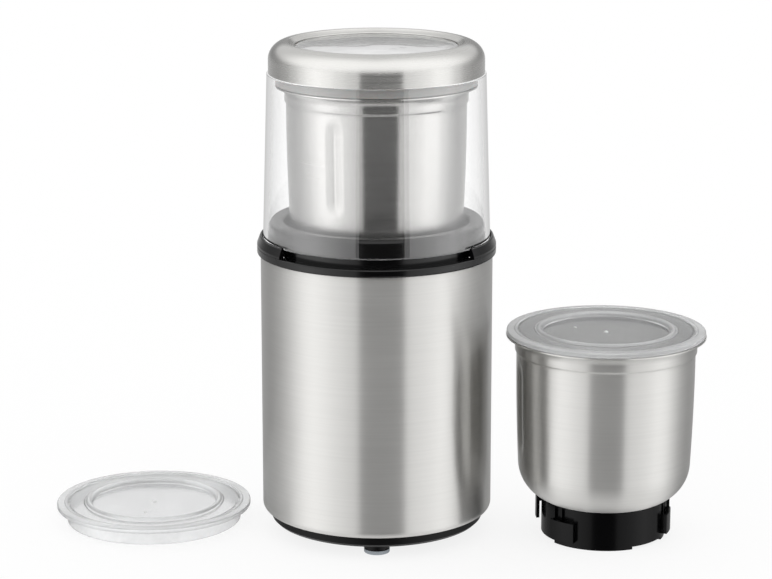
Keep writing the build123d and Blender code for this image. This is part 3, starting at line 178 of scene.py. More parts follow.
gap_azimuth = math.radians(5.0)
gap_distance = 0.74
gap_width = 0.60
gap_foot = -0.75
gap_head = 0.42
gap_fade_low = -0.30
gap_fade_high = 0.28
gap_light = 0.03
bpy.ops.object.select_all(action="DESELECT")
bpy.ops.mesh.primitive_plane_add(
    size=1.0,
    location=(
        gap_distance * math.sin(gap_azimuth),
        -gap_distance * math.cos(gap_azimuth),
        (gap_foot + gap_head) / 2,
    ),
    rotation=(math.radians(90), 0.0, gap_azimuth),
)
dark_gap = bpy.context.object
dark_gap.name = "dark_gap"
dark_gap.scale = (gap_width, gap_head - gap_foot, 1.0)
bpy.ops.object.transform_apply(location=True, rotation=True, scale=True)
gap_finish = bpy.data.materials.new("dark_gap")
gap_finish.cycles.emission_sampling = "NONE"
gap_finish.use_nodes = True
gap = gap_finish.node_tree
gap.nodes.clear()
gap_place = gap.nodes.new("ShaderNodeTexCoord").outputs["Object"]
gap_height = add_node(gap, "ShaderNodeSeparateXYZ", None, [gap_place]).outputs["Z"]
above = add_ramp(gap, gap_height, gap_fade_high, gap_head, 0.0, 1.0)
below = add_ramp(gap, gap_height, gap_foot, gap_fade_low, 1.0, 0.0)
darkness = add_node(gap, "ShaderNodeEmission", None, [None, gap_light])
cloth_edge = gap.nodes.new("ShaderNodeBsdfTransparent")
gap_mix = add_node(
    gap, "ShaderNodeMixShader", None,
    [add_sum(gap, "ADD", above, below), darkness.outputs[0], cloth_edge.outputs[0]],
)
add_node(gap, "ShaderNodeOutputMaterial", None, [gap_mix.outputs[0]])
dark_gap.data.materials.append(gap_finish)
dark_gap.visible_camera = False
dark_gap.visible_diffuse = False
dark_gap.visible_shadow = False


# ---- Worktop --------------------------------------------------------------------------
# A wide plain white top. Gloss looks through it at the tent below, so that steel shows the
# tent's panels down to its foot; everything matt sees a white top with faint shadows.

worktop_size = 14.0
paint_share = 0.16
bpy.ops.object.select_all(action="DESELECT")
bpy.ops.mesh.primitive_plane_add(size=worktop_size, location=(0.0, 0.0, 0.0))
worktop = bpy.context.object
worktop.name = "worktop"
worktop_finish = bpy.data.materials.new("white_worktop")
worktop_finish.cycles.emission_sampling = "NONE"
worktop_finish.use_nodes = True
top = worktop_finish.node_tree
top.nodes.clear()
paint = top.nodes.new("ShaderNodeBsdfDiffuse")
paint.inputs["Color"].default_value = (paint_share, paint_share, paint_share, 1)
glow = top.nodes.new("ShaderNodeEmission")
glow.inputs["Strength"].default_value = 1.0 - paint_share
glow.inputs["Color"].default_value = (1, 1, 1, 1)
white = add_node(top, "ShaderNodeAddShader", None, [paint.outputs[0], glow.outputs[0]])
top_path = top.nodes.new("ShaderNodeLightPath").outputs
through = add_sum(top, "GREATER_THAN", top_path["Glossy Depth"], first_bounce)
opening = top.nodes.new("ShaderNodeBsdfTransparent")
top_mix = add_node(
    top, "ShaderNodeMixShader", None, [through, white.outputs[0], opening.outputs[0]]
)
add_node(top, "ShaderNodeOutputMaterial", None, [top_mix.outputs[0]])
worktop.data.materials.append(worktop_finish)


# ---- Steel sleeve of the motor base ---------------------------------------------------
# Stainless sheet rolled into a tube and brushed round its axis. Its bottom edge is hemmed
# inwards over the cover, its top edge stands in the black collar, and the gland's hole is
# punched through its back.

mm = 0.001
weld_reach = 1e-6
smooth_limit = math.radians(32)


def arc(centre_radius, centre_height, radius, start, end, count=8):
    """Points of a round corner on an outline, between two angles in degrees."""
    angles = [math.radians(start + (end - start) * k / count) for k in range(count + 1)]
    return [
        (centre_radius + radius * math.cos(a), centre_height + radius * math.sin(a)) for a in angles
    ]


def supported(outline, closed):
    """Outline with a point near each end of its long runs, so that they stay straight when the
    piece is shaded smooth."""
    reach = 0.25
    long_run = 2.5
    points = []
    for start, end in zip(outline, outline[1:] + outline[:1] * closed):
        points.append(start)
        run = math.dist(start, end)
        if run > long_run:
            for share in (reach / run, 1 - reach / run):
                points.append(tuple(a + (b - a) * share for a, b in zip(start, end)))
    return points if closed else points + outline[-1:]


def lathe(name, outline, centre=(0.0, 0.0), steps=192, turn=(0.0, 360.0)):
    """Piece spun about an upright axis from an outline of (radius, height) in millimetres.
    An outline that starts on the axis ends there; any other closes on itself."""
    bpy.ops.object.select_all(action="DESELECT")
    x, y = centre
    full = turn[1] - turn[0] >= 360.0
    outline = supported(outline, outline[0][0] != 0)
    radius, height = outline[0]
    bpy.ops.mesh.primitive_plane_add(size=mm, location=(x + radius * mm, y, height * mm))
    piece = bpy.context.object
    piece.name = name
    bpy.ops.object.mode_set(mode="EDIT")
    bpy.ops.mesh.select_all(action="SELECT")
    bpy.ops.mesh.merge(type="CENTER")
    rest = outline[1:] if radius == 0 else outline[1:] + outline[:1]
    for next_radius, next_height in rest:
        step = ((next_radius - radius) * mm, 0.0, (next_height - height) * mm)
        bpy.ops.mesh.extrude_vertices_move(TRANSFORM_OT_translate={"value": step})
        radius, height = next_radius, next_height
    bpy.ops.mesh.select_all(action="SELECT")
    bpy.ops.mesh.remove_doubles(threshold=weld_reach)
    bpy.ops.mesh.select_all(action="SELECT")
    if not full:
        bpy.ops.mesh.edge_face_add()
    bpy.ops.mesh.spin(
        steps=steps, angle=math.radians(turn[1] - turn[0]), center=(x, y, 0.0), axis=(0.0, 0.0, 1.0)
    )
    bpy.ops.mesh.select_all(action="SELECT")
    bpy.ops.mesh.remove_doubles(threshold=weld_reach)
    bpy.ops.mesh.select_all(action="SELECT")
    bpy.ops.mesh.normals_make_consistent(inside=False)
    bpy.ops.object.mode_set(mode="OBJECT")
    bpy.ops.object.transform_apply(location=True, rotation=True, scale=True)
    bpy.ops.object.shade_smooth_by_angle(angle=smooth_limit)
    return piece


def settle(piece):
    """Applies a piece's place and turn to its mesh, with nothing else selected."""
    bpy.ops.object.select_all(action="DESELECT")
    piece.select_set(True)
    bpy.context.view_layer.objects.active = piece
    bpy.ops.object.transform_apply(location=True, rotation=True, scale=True)


def combine(piece, operation, part):
    """Joins another part to a piece, or cuts it out of the piece, as one closed mesh."""
    change = piece.modifiers.new("change", "BOOLEAN")
    change.operation = operation
    change.solver = "EXACT"
    change.object = part
    bpy.context.view_layer.objects.active = piece
    bpy.ops.object.modifier_apply(modifier=change.name)
    bpy.data.objects.remove(part)
    bpy.ops.object.select_all(action="DESELECT")
    piece.select_set(True)
    bpy.ops.object.shade_smooth_by_angle(angle=smooth_limit)


def new_group(name, numbers):
    """Node group for a surface effect. It takes a place and numbers, and gives a tone, a
    roughness and a height."""
    group = bpy.data.node_groups.new(name, "ShaderNodeTree")
    group.interface.new_socket("Vector", in_out="INPUT", socket_type="NodeSocketVector")
    for number in numbers:
        group.interface.new_socket(number, in_out="INPUT", socket_type="NodeSocketFloat")
    for result in ("Tone", "Roughness", "Height"):
        group.interface.new_socket(result, in_out="OUTPUT", socket_type="NodeSocketFloat")
    given = group.nodes.new("NodeGroupInput").outputs
    result = group.nodes.new("NodeGroupOutput").inputs
    return group, given, result


def add_noise(tree, vector, scale, detail):
    """Soft noise, about 0.5, on a place."""
    noise = tree.nodes.new("ShaderNodeTexNoise")
    noise.inputs["Detail"].default_value = detail
    tree.links.new(vector, noise.inputs["Vector"])
    if isinstance(scale, (int, float)):
        noise.inputs["Scale"].default_value = scale
    else:
        tree.links.new(scale, noise.inputs["Scale"])
    return noise.outputs[0]


# Brushing: fine lines round an upright axis, on walls and on top faces alike, in soft clouds
line_stretch = 22.0
line_detail = 4.0
cloud_scale = 24.0
cloud_detail = 2.0
cloud_tone = 0.06
cloud_roughness = 0.04
noise_middle = 0.5
brushing, given, result = new_group("brushing", ("Lines", "Roughness", "Spread", "Contrast"))
xyz = add_node(brushing, "ShaderNodeSeparateXYZ", None, [given["Vector"]]).outputs
x_squared = add_sum(brushing, "POWER", xyz["X"], 2.0)
y_squared = add_sum(brushing, "POWER", xyz["Y"], 2.0)
out_from_axis = add_sum(brushing, "SQRT", add_sum(brushing, "ADD", x_squared, y_squared))
out_and_up = add_sum(brushing, "ADD", xyz["Z"], out_from_axis)
across = add_sum(brushing, "MULTIPLY", out_and_up, given["Lines"])
along_x = add_sum(brushing, "MULTIPLY", xyz["X"], line_stretch)
along_y = add_sum(brushing, "MULTIPLY", xyz["Y"], line_stretch)
stretched = add_node(brushing, "ShaderNodeCombineXYZ", None, [along_x, along_y, across]).outputs[0]
brush_lines = add_noise(brushing, stretched, 1.0, line_detail)
clouds = add_noise(brushing, given["Vector"], cloud_scale, cloud_detail)
line_shift = add_sum(brushing, "SUBTRACT", brush_lines, noise_middle)
cloud_shift = add_sum(brushing, "SUBTRACT", clouds, noise_middle)
line_tone = add_sum(brushing, "MULTIPLY_ADD", line_shift, given["Contrast"], 1.0)
tone = add_sum(brushing, "MULTIPLY_ADD", cloud_shift, cloud_tone, line_tone)
rough_lines = add_sum(brushing, "MULTIPLY_ADD", line_shift, given["Spread"], given["Roughness"])
roughness = add_sum(brushing, "MULTIPLY_ADD", cloud_shift, cloud_roughness, rough_lines)
brushing.links.new(tone, result["Tone"])
brushing.links.new(roughness, result["Roughness"])
brushing.links.new(brush_lines, result["Height"])


def new_finish(name, **sockets):
    """Material with plain numbers and colours on its shader's own sockets."""
    finish = bpy.data.materials.new(name)
    finish.use_nodes = True
    shader = finish.node_tree.nodes["Principled BSDF"]
    for socket, value in sockets.items():
        if isinstance(value, tuple):
            value = (*value, 1.0)
        shader.inputs[socket.replace("_", " ")].default_value = value
    return finish, finish.node_tree, shader


def add_bump(tree, shader, height, depth):
    """Bump of a depth in metres, laid over any bump that the shader already has."""
    bump = tree.nodes.new("ShaderNodeBump")
    bump.inputs["Distance"].default_value = depth
    tree.links.new(height, bump.inputs["Height"])
    for link in shader.inputs["Normal"].links:
        tree.links.new(link.from_socket, bump.inputs["Normal"])
    tree.links.new(bump.outputs[0], shader.inputs["Normal"])


def add_effect(tree, shader, group, centre, colour, bump_depth, **numbers):
    """Places an effect on a material: its roughness and bump, and its tone on a colour. Returns
    the piece's own coordinates, counted from a centre in metres."""
    mapping = tree.nodes.new("ShaderNodeMapping")
    mapping.inputs["Location"].default_value = [-c for c in centre]
    tree.links.new(tree.nodes.new("ShaderNodeTexCoord").outputs["Object"], mapping.inputs["Vector"])
    effect = tree.nodes.new("ShaderNodeGroup")
    effect.node_tree = group
    tree.links.new(mapping.outputs[0], effect.inputs["Vector"])
    for socket, value in numbers.items():
        effect.inputs[socket].default_value = value
    if colour:
        tint = tree.nodes.new("ShaderNodeMix")
        tint.data_type = "RGBA"
        tint.blend_type = "MULTIPLY"
        tint.inputs[0].default_value = 1.0
        tint.inputs[6].default_value = (*colour, 1.0)
        tree.links.new(effect.outputs["Tone"], tint.inputs[7])
        tree.links.new(tint.outputs[2], shader.inputs["Base Color"])
    tree.links.new(effect.outputs["Roughness"], shader.inputs["Roughness"])
    add_bump(tree, shader, effect.outputs["Height"], bump_depth)
    return mapping.outputs[0]


def brushed_finish(name, centre, colour, roughness, grain=0.96, contrast=0.14, depth=0.003 * mm):
    """Steel brushed round an upright axis: it smears light across its brush lines."""
    finish, tree, shader = new_finish(name, Metallic=1.0, Anisotropic=grain)
    place = add_effect(
        tree, shader, brushing, centre, colour, depth,
        Lines=1100.0, Roughness=roughness, Spread=0.10, Contrast=contrast,
    )
    here = add_node(tree, "ShaderNodeSeparateXYZ", None, [place]).outputs
    round_axis = add_node(
        tree, "ShaderNodeCombineXYZ", None, [add_sum(tree, "MULTIPLY", here["Y"], -1.0), here["X"]]
    )
    outwards = tree.nodes.new("ShaderNodeNewGeometry").outputs["Normal"]
    across_lines = add_node(
        tree, "ShaderNodeVectorMath", "CROSS_PRODUCT", [outwards, round_axis.outputs[0]]
    )
    tree.links.new(across_lines.outputs[0], shader.inputs["Tangent"])
    return finish


steel_colour = (0.565, 0.56, 0.545)
sleeve_low, sleeve_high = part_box("body_shell")
sleeve_radius = sleeve_high.x / mm
sleeve_foot = sleeve_low.z / mm
sleeve_top = sleeve_high.z / mm
sleeve_wall = 0.6
hem_radius = 3.0
hem_lip = 1.9
hem_centre = sleeve_radius - hem_radius
hem_height = sleeve_foot + hem_radius
sleeve_outline = [
    (sleeve_radius, sleeve_top),
    (sleeve_radius - sleeve_wall, sleeve_top),
    *arc(hem_centre, hem_height, hem_radius - sleeve_wall, 0, -90),
    (hem_centre - hem_lip, sleeve_foot + sleeve_wall),
    (hem_centre - hem_lip, sleeve_foot),
    *arc(hem_centre, hem_height, hem_radius, -90, 0, 14),
]
gland_hole = 5.15
punch_length = 10.0
gland_low, gland_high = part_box("cord_gland")
gland_height = (gland_low.z + gland_high.z) / 2
quarter_turn = math.radians(90)
sleeve = lathe("steel_sleeve", sleeve_outline, steps=256)
bpy.ops.object.select_all(action="DESELECT")
bpy.ops.mesh.primitive_cylinder_add(
    vertices=64, radius=gland_hole * mm, depth=punch_length * mm,
    location=(0.0, sleeve_high.y, gland_height), rotation=(quarter_turn, 0.0, 0.0),
)
combine(sleeve, "DIFFERENCE", bpy.context.object)
sleeve.data.materials.append(
    brushed_finish("brushed_sleeve_steel", (0, 0, 0), steel_colour, roughness=0.36)
)
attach(sleeve, "motor_base")
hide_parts("body_shell")


# ---- Bottom cover, feet and cover screws ----------------------------------------------
# The cover is one black moulding with air slots, foot posts and screw pillars. A grey
# rubber pad is pressed on each foot, and three long screws pull the cover up to the bracket.

# Moulding: the fine skin of a mould, and faint smudges of handling
grain_detail = 3.0
grain_tone = 0.2
smudge_scale = 38.0
smudge_detail = 2.0
smudge_tone = 0.3
moulding, given, result = new_group("moulding", ("Grain", "Roughness", "Spread"))
grains = add_noise(moulding, given["Vector"], given["Grain"], grain_detail)
smudges = add_noise(moulding, given["Vector"], smudge_scale, smudge_detail)
grain_shift = add_sum(moulding, "SUBTRACT", grains, noise_middle)
smudge_shift = add_sum(moulding, "SUBTRACT", smudges, noise_middle)
toned_grains = add_sum(moulding, "MULTIPLY_ADD", grain_shift, grain_tone, 1.0)
tone = add_sum(moulding, "MULTIPLY_ADD", smudge_shift, smudge_tone, toned_grains)
rough_grains = add_sum(moulding, "MULTIPLY_ADD", grain_shift, given["Spread"], given["Roughness"])
roughness = add_sum(moulding, "MULTIPLY_ADD", smudge_shift, given["Spread"], rough_grains)
moulding.links.new(tone, result["Tone"])
moulding.links.new(roughness, result["Roughness"])
moulding.links.new(grains, result["Height"])


def moulded_finish(name, colour, roughness, grain=1400.0, depth=0.006 * mm, spread=0.10, **sockets):
    """Moulded, cast or pressed material with a fine skin and faint handling marks."""
    finish, tree, shader = new_finish(name, **sockets)
    add_effect(
        tree, shader, moulding, (0, 0, 0), colour, depth,
        Grain=grain, Roughness=roughness, Spread=spread,
    )
    return finish


def turned_finish(name, centre, colour, roughness, lines=1600.0, depth=0.01 * mm, contrast=0.2):
    """Metal with fine tool lines round an upright axis, or with stacked or wound layers."""
    finish, tree, shader = new_finish(name, Metallic=1.0)
    add_effect(
        tree, shader, brushing, centre, colour, depth,
        Lines=lines, Roughness=roughness, Spread=0.12, Contrast=contrast,
    )
    return finish


def dress(finish, *names):
    """Gives CAD nodes their finish."""
    for name in names:
        for held in nodes[name].material_slots:
            held.material = finish


satin_black = moulded_finish(
    "satin_black_plastic", (0.003, 0.003, 0.0032), roughness=0.36, depth=0.002 * mm,
    Specular_IOR_Level=0.14,
)
grey_rubber = moulded_finish(
    "grey_rubber", (0.30, 0.33, 0.36), roughness=0.62, grain=900.0, depth=0.02 * mm
)
screw_colour = (0.55, 0.55, 0.54)
base_steel = turned_finish("turned_steel", (0, 0, 0), screw_colour, roughness=0.32)
dress(satin_black, "bottom_cover")
dress(grey_rubber, "foot_pads")
dress(base_steel, "bottom_screws", "motor_screws")


# ---- Cord gland -----------------------------------------------------------------------
# A soft black bush with a flange, pressed into the hole at the back of the sleeve.

black_rubber = moulded_finish(
    "black_rubber", (0.02, 0.02, 0.021), roughness=0.66, grain=900.0, depth=0.02 * mm
)
dress(black_rubber, "cord_gland")


# ---- Collar with the cup well ---------------------------------------------------------
# One black moulding: the lip over the sleeve, two ears beside the dome, the raised ring round
# the cup, and the well with its bayonet ledges below it.

deep_black = (0.002, 0.002, 0.0022)
collar_black = moulded_finish(
    "black_collar_plastic", deep_black, roughness=0.18, grain=1800.0, depth=0.001 * mm, spread=0.06,
    Specular_IOR_Level=0.32,
)
dress(collar_black, "top_collar")


# ---- Motor inside the base ------------------------------------------------------------
# A two-pole universal motor: stacked steel core with two enamelled coils between cast
# brackets, on rubber mounts under the well, with ball bearings, brushes and a lip seal.

cast_alloy = moulded_finish(
    "cast_alloy", (0.50, 0.51, 0.52), roughness=0.48, grain=1100.0, depth=0.03 * mm, spread=0.15,
    Metallic=1.0,
)
laminations = turned_finish(
    "stacked_core_steel", (0, 0, 0), (0.24, 0.245, 0.255), roughness=0.45,
    lines=2600.0, depth=0.04 * mm, contrast=0.5,
)
enamelled_wire = turned_finish(
    "enamelled_copper_wire", (0, 0, 0), (0.62, 0.24, 0.10), roughness=0.30,
    lines=1500.0, depth=0.12 * mm, contrast=0.5,
)
brass = moulded_finish(
    "plain_brass", (0.66, 0.46, 0.17), roughness=0.30, grain=1200.0, Metallic=1.0
)
carbon = moulded_finish(
    "pressed_carbon", (0.022, 0.022, 0.024), roughness=0.52, grain=2200.0, depth=0.02 * mm,
    spread=0.2,
)
dress(cast_alloy, "upper_bracket", "lower_bracket")
dress(laminations, "stator_core")
dress(enamelled_wire, "field_coils")
dress(base_steel, "upper_bearing", "lower_bearing", "brush_springs")
dress(brass, "brush_holders")
dress(carbon, "carbon_brushes")
dress(black_rubber, "rubber_mounts", "shaft_seal")


# ---- Rotor ----------------------------------------------------------------------------
# Ground shaft with the wound armature, copper commutator and moulded fan pressed on it. The
# black disc on its top end carries the dogs that turn the cup's knife.

bright_steel = (0.62, 0.62, 0.61)
matt_black = moulded_finish("matt_black_plastic", (0.024, 0.024, 0.025), roughness=0.50)
shaft_steel = turned_finish(
    "ground_steel", (0, 0, 0), bright_steel, roughness=0.16,
    lines=1200.0, depth=0.003 * mm, contrast=0.08,
)
segment_copper = turned_finish(
    "commutator_copper", (0, 0, 0), (0.68, 0.30, 0.15), roughness=0.26, lines=1800.0
)
dress(shaft_steel, "motor_shaft")
dress(laminations, "armature_core")
dress(enamelled_wire, "armature_windings")
dress(segment_copper, "commutator")
dress(matt_black, "cooling_fan", "drive_coupling")


# ---- Lid switch -----------------------------------------------------------------------
# A microswitch screwed inside the collar. A plunger under one tab of the dome works it, and
# a small coil spring lifts the plunger again.

dress(matt_black, "switch_body", "switch_plunger")
dress(base_steel, "switch_screws")
spring_wire = 0.2
spring_turns = 4
wire_sides = 10
turn_steps = 28
wire_weld = 1e-7
wire_smooth_limit = math.radians(50)
spring_low, spring_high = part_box("plunger_spring")
spring_centre = (spring_low + spring_high) / 2
spring_length = spring_high.z - spring_low.z
coil_radius = (spring_high.x - spring_low.x) / 2 - spring_wire * mm
coil_rise = spring_length - 2 * spring_wire * mm
bpy.ops.object.select_all(action="DESELECT")
bpy.ops.mesh.primitive_circle_add(
    vertices=wire_sides, radius=spring_wire * mm,
    location=(coil_radius, 0.0, 0.0), rotation=(quarter_turn, 0.0, 0.0),
)
spring = bpy.context.object
spring.name = "plunger_return_spring"
bpy.ops.object.transform_apply(location=True, rotation=True, scale=True)
winding = spring.modifiers.new("winding", "SCREW")
winding.axis = "Z"
winding.angle = math.radians(360)
winding.iterations = spring_turns
winding.screw_offset = coil_rise / spring_turns
winding.steps = turn_steps
winding.render_steps = turn_steps
bpy.ops.object.modifier_apply(modifier=winding.name)
bpy.ops.object.mode_set(mode="EDIT")
bpy.ops.mesh.select_all(action="SELECT")
bpy.ops.mesh.remove_doubles(threshold=wire_weld)
bpy.ops.mesh.fill_holes(sides=0)
bpy.ops.mesh.select_all(action="SELECT")
bpy.ops.mesh.normals_make_consistent(inside=False)
bpy.ops.object.mode_set(mode="OBJECT")
spring.location = (spring_centre.x, spring_centre.y, spring_low.z + spring_wire * mm)
bpy.ops.object.transform_apply(location=True, rotation=True, scale=True)
bpy.ops.object.shade_smooth_by_angle(angle=wire_smooth_limit)
spring.data.materials.append(base_steel)
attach(spring, "motor_base")
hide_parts("plunger_spring")
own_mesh(spring)


# ---- Mounted grinding cup -------------------------------------------------------------
# A steel bowl pressed from sheet, brushed, with a stepped neck, a flared rim and two soft
# pressed grooves. The bush's nut clamps it to a black bayonet skirt, and the knife turns in
# the bush.

cup_wall = 0.6
bowl_floor = 16.5
bowl_radius = 40.5
wall_draft = 1.25
bowl_corner = 18.1
bowl_top = 94.0
neck_foot = 86.8
neck_step = 0.7
neck_start = 1.1
neck_rise = 1.3
neck_steps = 6
flare_radius = 4.0
bush_hole = 6.15
wall_row = 1.5
wall_end = 1.2
groove_foot = 40.6
groove_top = 83.0
groove_reach = 4.4
groove_depth = 1.1
groove_angles = (-167.5, 12.5)
corner_centre = bowl_radius - wall_draft - bowl_corner
corner_height = bowl_floor + bowl_corner
wall_slope = math.degrees(math.atan(2 * wall_draft / (neck_foot - corner_height)))
neck_radius = bowl_radius + neck_step
bowl_rim = neck_radius + flare_radius
flare_height = bowl_top - cup_wall - flare_radius
wall_rows = round((neck_foot - wall_end - corner_height) / wall_row)
wall_heights = [corner_height + wall_row * k for k in range(1, wall_rows)]


def wall_points(inset, heights):
    """The bowl's wall, which narrows a little towards its foot."""
    draft_height = neck_foot - corner_height
    return [
        (bowl_radius - inset - wall_draft * ((neck_foot - height) / draft_height) ** 2, height)
        for height in heights
    ]


def neck_points(inset):
    """Soft step from the bowl's wall out to its neck."""
    points = []
    for k in range(neck_steps + 1):
        s = k / neck_steps
        radius = bowl_radius - inset + neck_step * s * s * (3 - 2 * s)
        points.append((radius, neck_foot - neck_start + neck_rise * s))
    return points


bowl_outline = [
    (bush_hole, bowl_floor),
    *arc(corner_centre, corner_height, bowl_corner, -90, -wall_slope, 16),
    *wall_points(0.0, wall_heights),
    *neck_points(0.0),
    *arc(bowl_rim, flare_height, flare_radius, 180, 90, 10),
    (bowl_rim, bowl_top),
    *arc(bowl_rim, flare_height, flare_radius + cup_wall, 90, 180, 10)[1:],
    *reversed(neck_points(cup_wall)),
    *reversed(wall_points(cup_wall, wall_heights)),
    *arc(corner_centre, corner_height, bowl_corner - cup_wall, -wall_slope, -90, 16),
    (bush_hole, bowl_floor + cup_wall),
]
bowl_steps = 400
pressed_bowl = lathe("pressed_bowl", bowl_outline, steps=bowl_steps)
half_step = math.pi / bowl_steps
# A groove is pressed from the one or two rows of points on its line, wall and lining alike
row_reach = bowl_radius * mm * half_step * 1.01
inner_limit = (bowl_radius - 2.5) * mm
for groove_angle in groove_angles:
    turn = math.radians(groove_angle)
    along = (math.cos(turn), math.sin(turn))
    bpy.ops.object.mode_set(mode="EDIT")
    bpy.ops.mesh.select_mode(type="VERT")
    bpy.ops.mesh.select_all(action="DESELECT")
    bpy.ops.object.mode_set(mode="OBJECT")
    for vertex in pressed_bowl.data.vertices:
        x, y, z = vertex.co
        beside = abs(x * along[1] - y * along[0])
        in_line = x * along[0] + y * along[1] > 0 and beside < row_reach
        between = groove_foot + groove_reach < z / mm < groove_top - groove_reach
        vertex.select = in_line and between and math.hypot(x, y) > inner_limit
    bpy.ops.object.mode_set(mode="EDIT")
    bpy.ops.transform.translate(
        value=(-along[0] * groove_depth * mm, -along[1] * groove_depth * mm, 0.0),
        use_proportional_edit=True, proportional_edit_falloff="LINEAR",
        proportional_size=groove_reach * mm,
    )
    bpy.ops.object.mode_set(mode="OBJECT")
# The mounted bowl is a copy, and the spare cup takes the pressed bowl itself
cup_turn = math.radians(50)
cup_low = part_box("cup_bowl")[0]
bowl = pressed_bowl.copy()
bowl.data = pressed_bowl.data.copy()
bowl.name = "mounted_cup_bowl"
scene.collection.objects.link(bowl)
bowl.rotation_euler.z = cup_turn
bowl.location.z = cup_low.z - bowl_floor * mm
settle(bowl)
# Painted shade: the mounted bowl is the same steel as the spare bowl, but gets a darker colour to
# hold down the bright light it reflects behind the dome.
shaded_cup_colour = (0.485, 0.48, 0.47)
bowl.data.materials.append(
    brushed_finish("brushed_cup_steel_painted_shade", (0, 0, 0), shaded_cup_colour, roughness=0.25, depth=0.0004 * mm)
)
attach(bowl, "cup")
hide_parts("cup_bowl")
black_skirt = moulded_finish(
    "black_skirt_plastic", deep_black, roughness=0.20, grain=1800.0, depth=0.001 * mm, spread=0.06,
    Specular_IOR_Level=0.14,
)
knife_steel = moulded_finish(
    "stamped_knife_steel", bright_steel, roughness=0.17, grain=700.0, depth=0.004 * mm,
    Metallic=1.0,
)
dress(black_skirt, "cup_skirt")
dress(base_steel, "cup_bearing", "cup_bearing_nut", "cup_clip")
dress(shaft_steel, "cup_spindle", "cup_knife_nut")
dress(knife_steel, "cup_knife")
dress(matt_black, "cup_coupling")


# ---- Seal on the cup's rim ------------------------------------------------------------
# A soft grey ring of silicone that grips the rim, where the dome's rib presses on it.

seal_low, seal_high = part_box("rim_seal")
seal_outer = seal_high.x / mm
seal_width = 3.2
seal_inner = seal_outer - seal_width
seal_foot = seal_low.z / mm
seal_top = seal_high.z / mm
seal_lip = 0.9
seal_lip_height = 1.0
low_round = 1.1
high_round = 0.8
inner_round = 0.4
seal_outline = [
    (seal_inner + seal_lip, seal_foot),
    *arc(seal_outer - low_round, seal_foot + low_round, low_round, -90, 0),
    *arc(seal_outer - high_round, seal_top - high_round, high_round, 0, 90, 6),
    *arc(seal_inner + inner_round, seal_top - inner_round, inner_round, 90, 180, 5),
    (seal_inner, seal_foot + seal_lip_height),
]
seal = lathe("rim_seal_ring", seal_outline)
seal.data.materials.append(
    moulded_finish(
        "grey_silicone", (0.31, 0.308, 0.30), roughness=0.30, grain=900.0, depth=0.001 * mm,
        spread=0.08, Subsurface_Weight=0.3, Subsurface_Scale=0.002, IOR=1.41,
    )
)
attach(seal, "cup")
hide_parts("rim_seal")
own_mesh(seal)


# ---- Clear dome of the lid ------------------------------------------------------------
# One clear moulding: tapered wall, shoulder and neck under the cap, slightly domed window,
# and a rib inside that presses the seal. Four tabs reach down into the collar's pockets.

dome_low, dome_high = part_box("lid_dome")
dome_base = dome_high.x / mm
dome_taper = 2.2
dome_shoulder = dome_base - dome_taper
dome_wall = 2.0
dome_foot = 137.3
dome_top = 212.0
neck_outer = 47.5
panel_top = dome_high.z / mm
window_crown = 0.9
window_reach = 35.6
rib_inner = 42.4
rib_foot = seal_top
rib_head = panel_top - 5.0
neck_round = 4.0
shoulder_round = 0.5
edge_round = 0.6
neck_lining_round = 1.0
neck_lining_top = panel_top - 6.5
crown_radius = (window_reach ** 2 + window_crown ** 2) / (2 * window_crown)
crown_angle = math.degrees(math.asin(window_reach / crown_radius))
crown_centre = panel_top + window_crown - crown_radius
window_curve = arc(0, crown_centre, crown_radius, 90, 90 - crown_angle, 12)
window_curve[0] = (0, panel_top + window_crown)
dome_outline = [
    *window_curve,
    *arc(neck_outer - neck_round, panel_top - neck_round, neck_round, 90, 0, 8),
    (neck_outer, dome_top),
    *arc(dome_shoulder - shoulder_round, dome_top - shoulder_round, shoulder_round, 90, 2, 5),
    *arc(dome_base - edge_round, dome_foot + edge_round, edge_round, 0, -90, 5),
    *arc(dome_base - dome_wall + edge_round, dome_foot + edge_round, edge_round, -90, -180, 5),
    (dome_shoulder - dome_wall, dome_top - 0.4),
    (neck_outer - dome_wall, dome_top + 1.4),
    *arc(neck_outer - dome_wall - neck_lining_round, neck_lining_top, neck_lining_round, 0, 90, 4),
    (rib_inner + dome_wall, rib_head),
    (rib_inner + dome_wall, rib_foot),
    (rib_inner, rib_foot),
    (rib_inner, panel_top - dome_wall),
    (0, panel_top - dome_wall),
]
tab_angles = (31.0, 149.0, 211.0, 329.0)
tab_half = 3.6
tab_root = dome_foot + 1.2
tab_foot = dome_low.z / mm
tab_round = 0.5
tab_outline = [
    (dome_base - dome_wall + 0.1, tab_root),
    (dome_base - 0.05, tab_root),
    *arc(dome_base - 0.55, tab_foot + tab_round, tab_round, 0, -90, 4),
    *arc(dome_base - dome_wall + 0.6, tab_foot + tab_round, tab_round, -90, -180, 4),
]
dome = lathe("clear_dome", dome_outline, steps=224)
for tab_angle in tab_angles:
    tab = lathe("dome_tab", tab_outline, steps=8, turn=(0.0, 2 * tab_half))
    # A spin goes clockwise, so each tab starts at its far edge
    tab.rotation_euler.z = math.radians(tab_angle + tab_half)
    combine(dome, "UNION", tab)
clear_plastic, tree, shader = new_finish(
    "clear_plastic", Base_Color=(1.0, 1.0, 1.0), Transmission_Weight=1.0, IOR=1.57
)
dome_place = add_effect(
    tree, shader, moulding, (0, 0, 0), None, bump_depth=0.0001 * mm,
    Grain=300.0, Roughness=0.012, Spread=0.02,
)
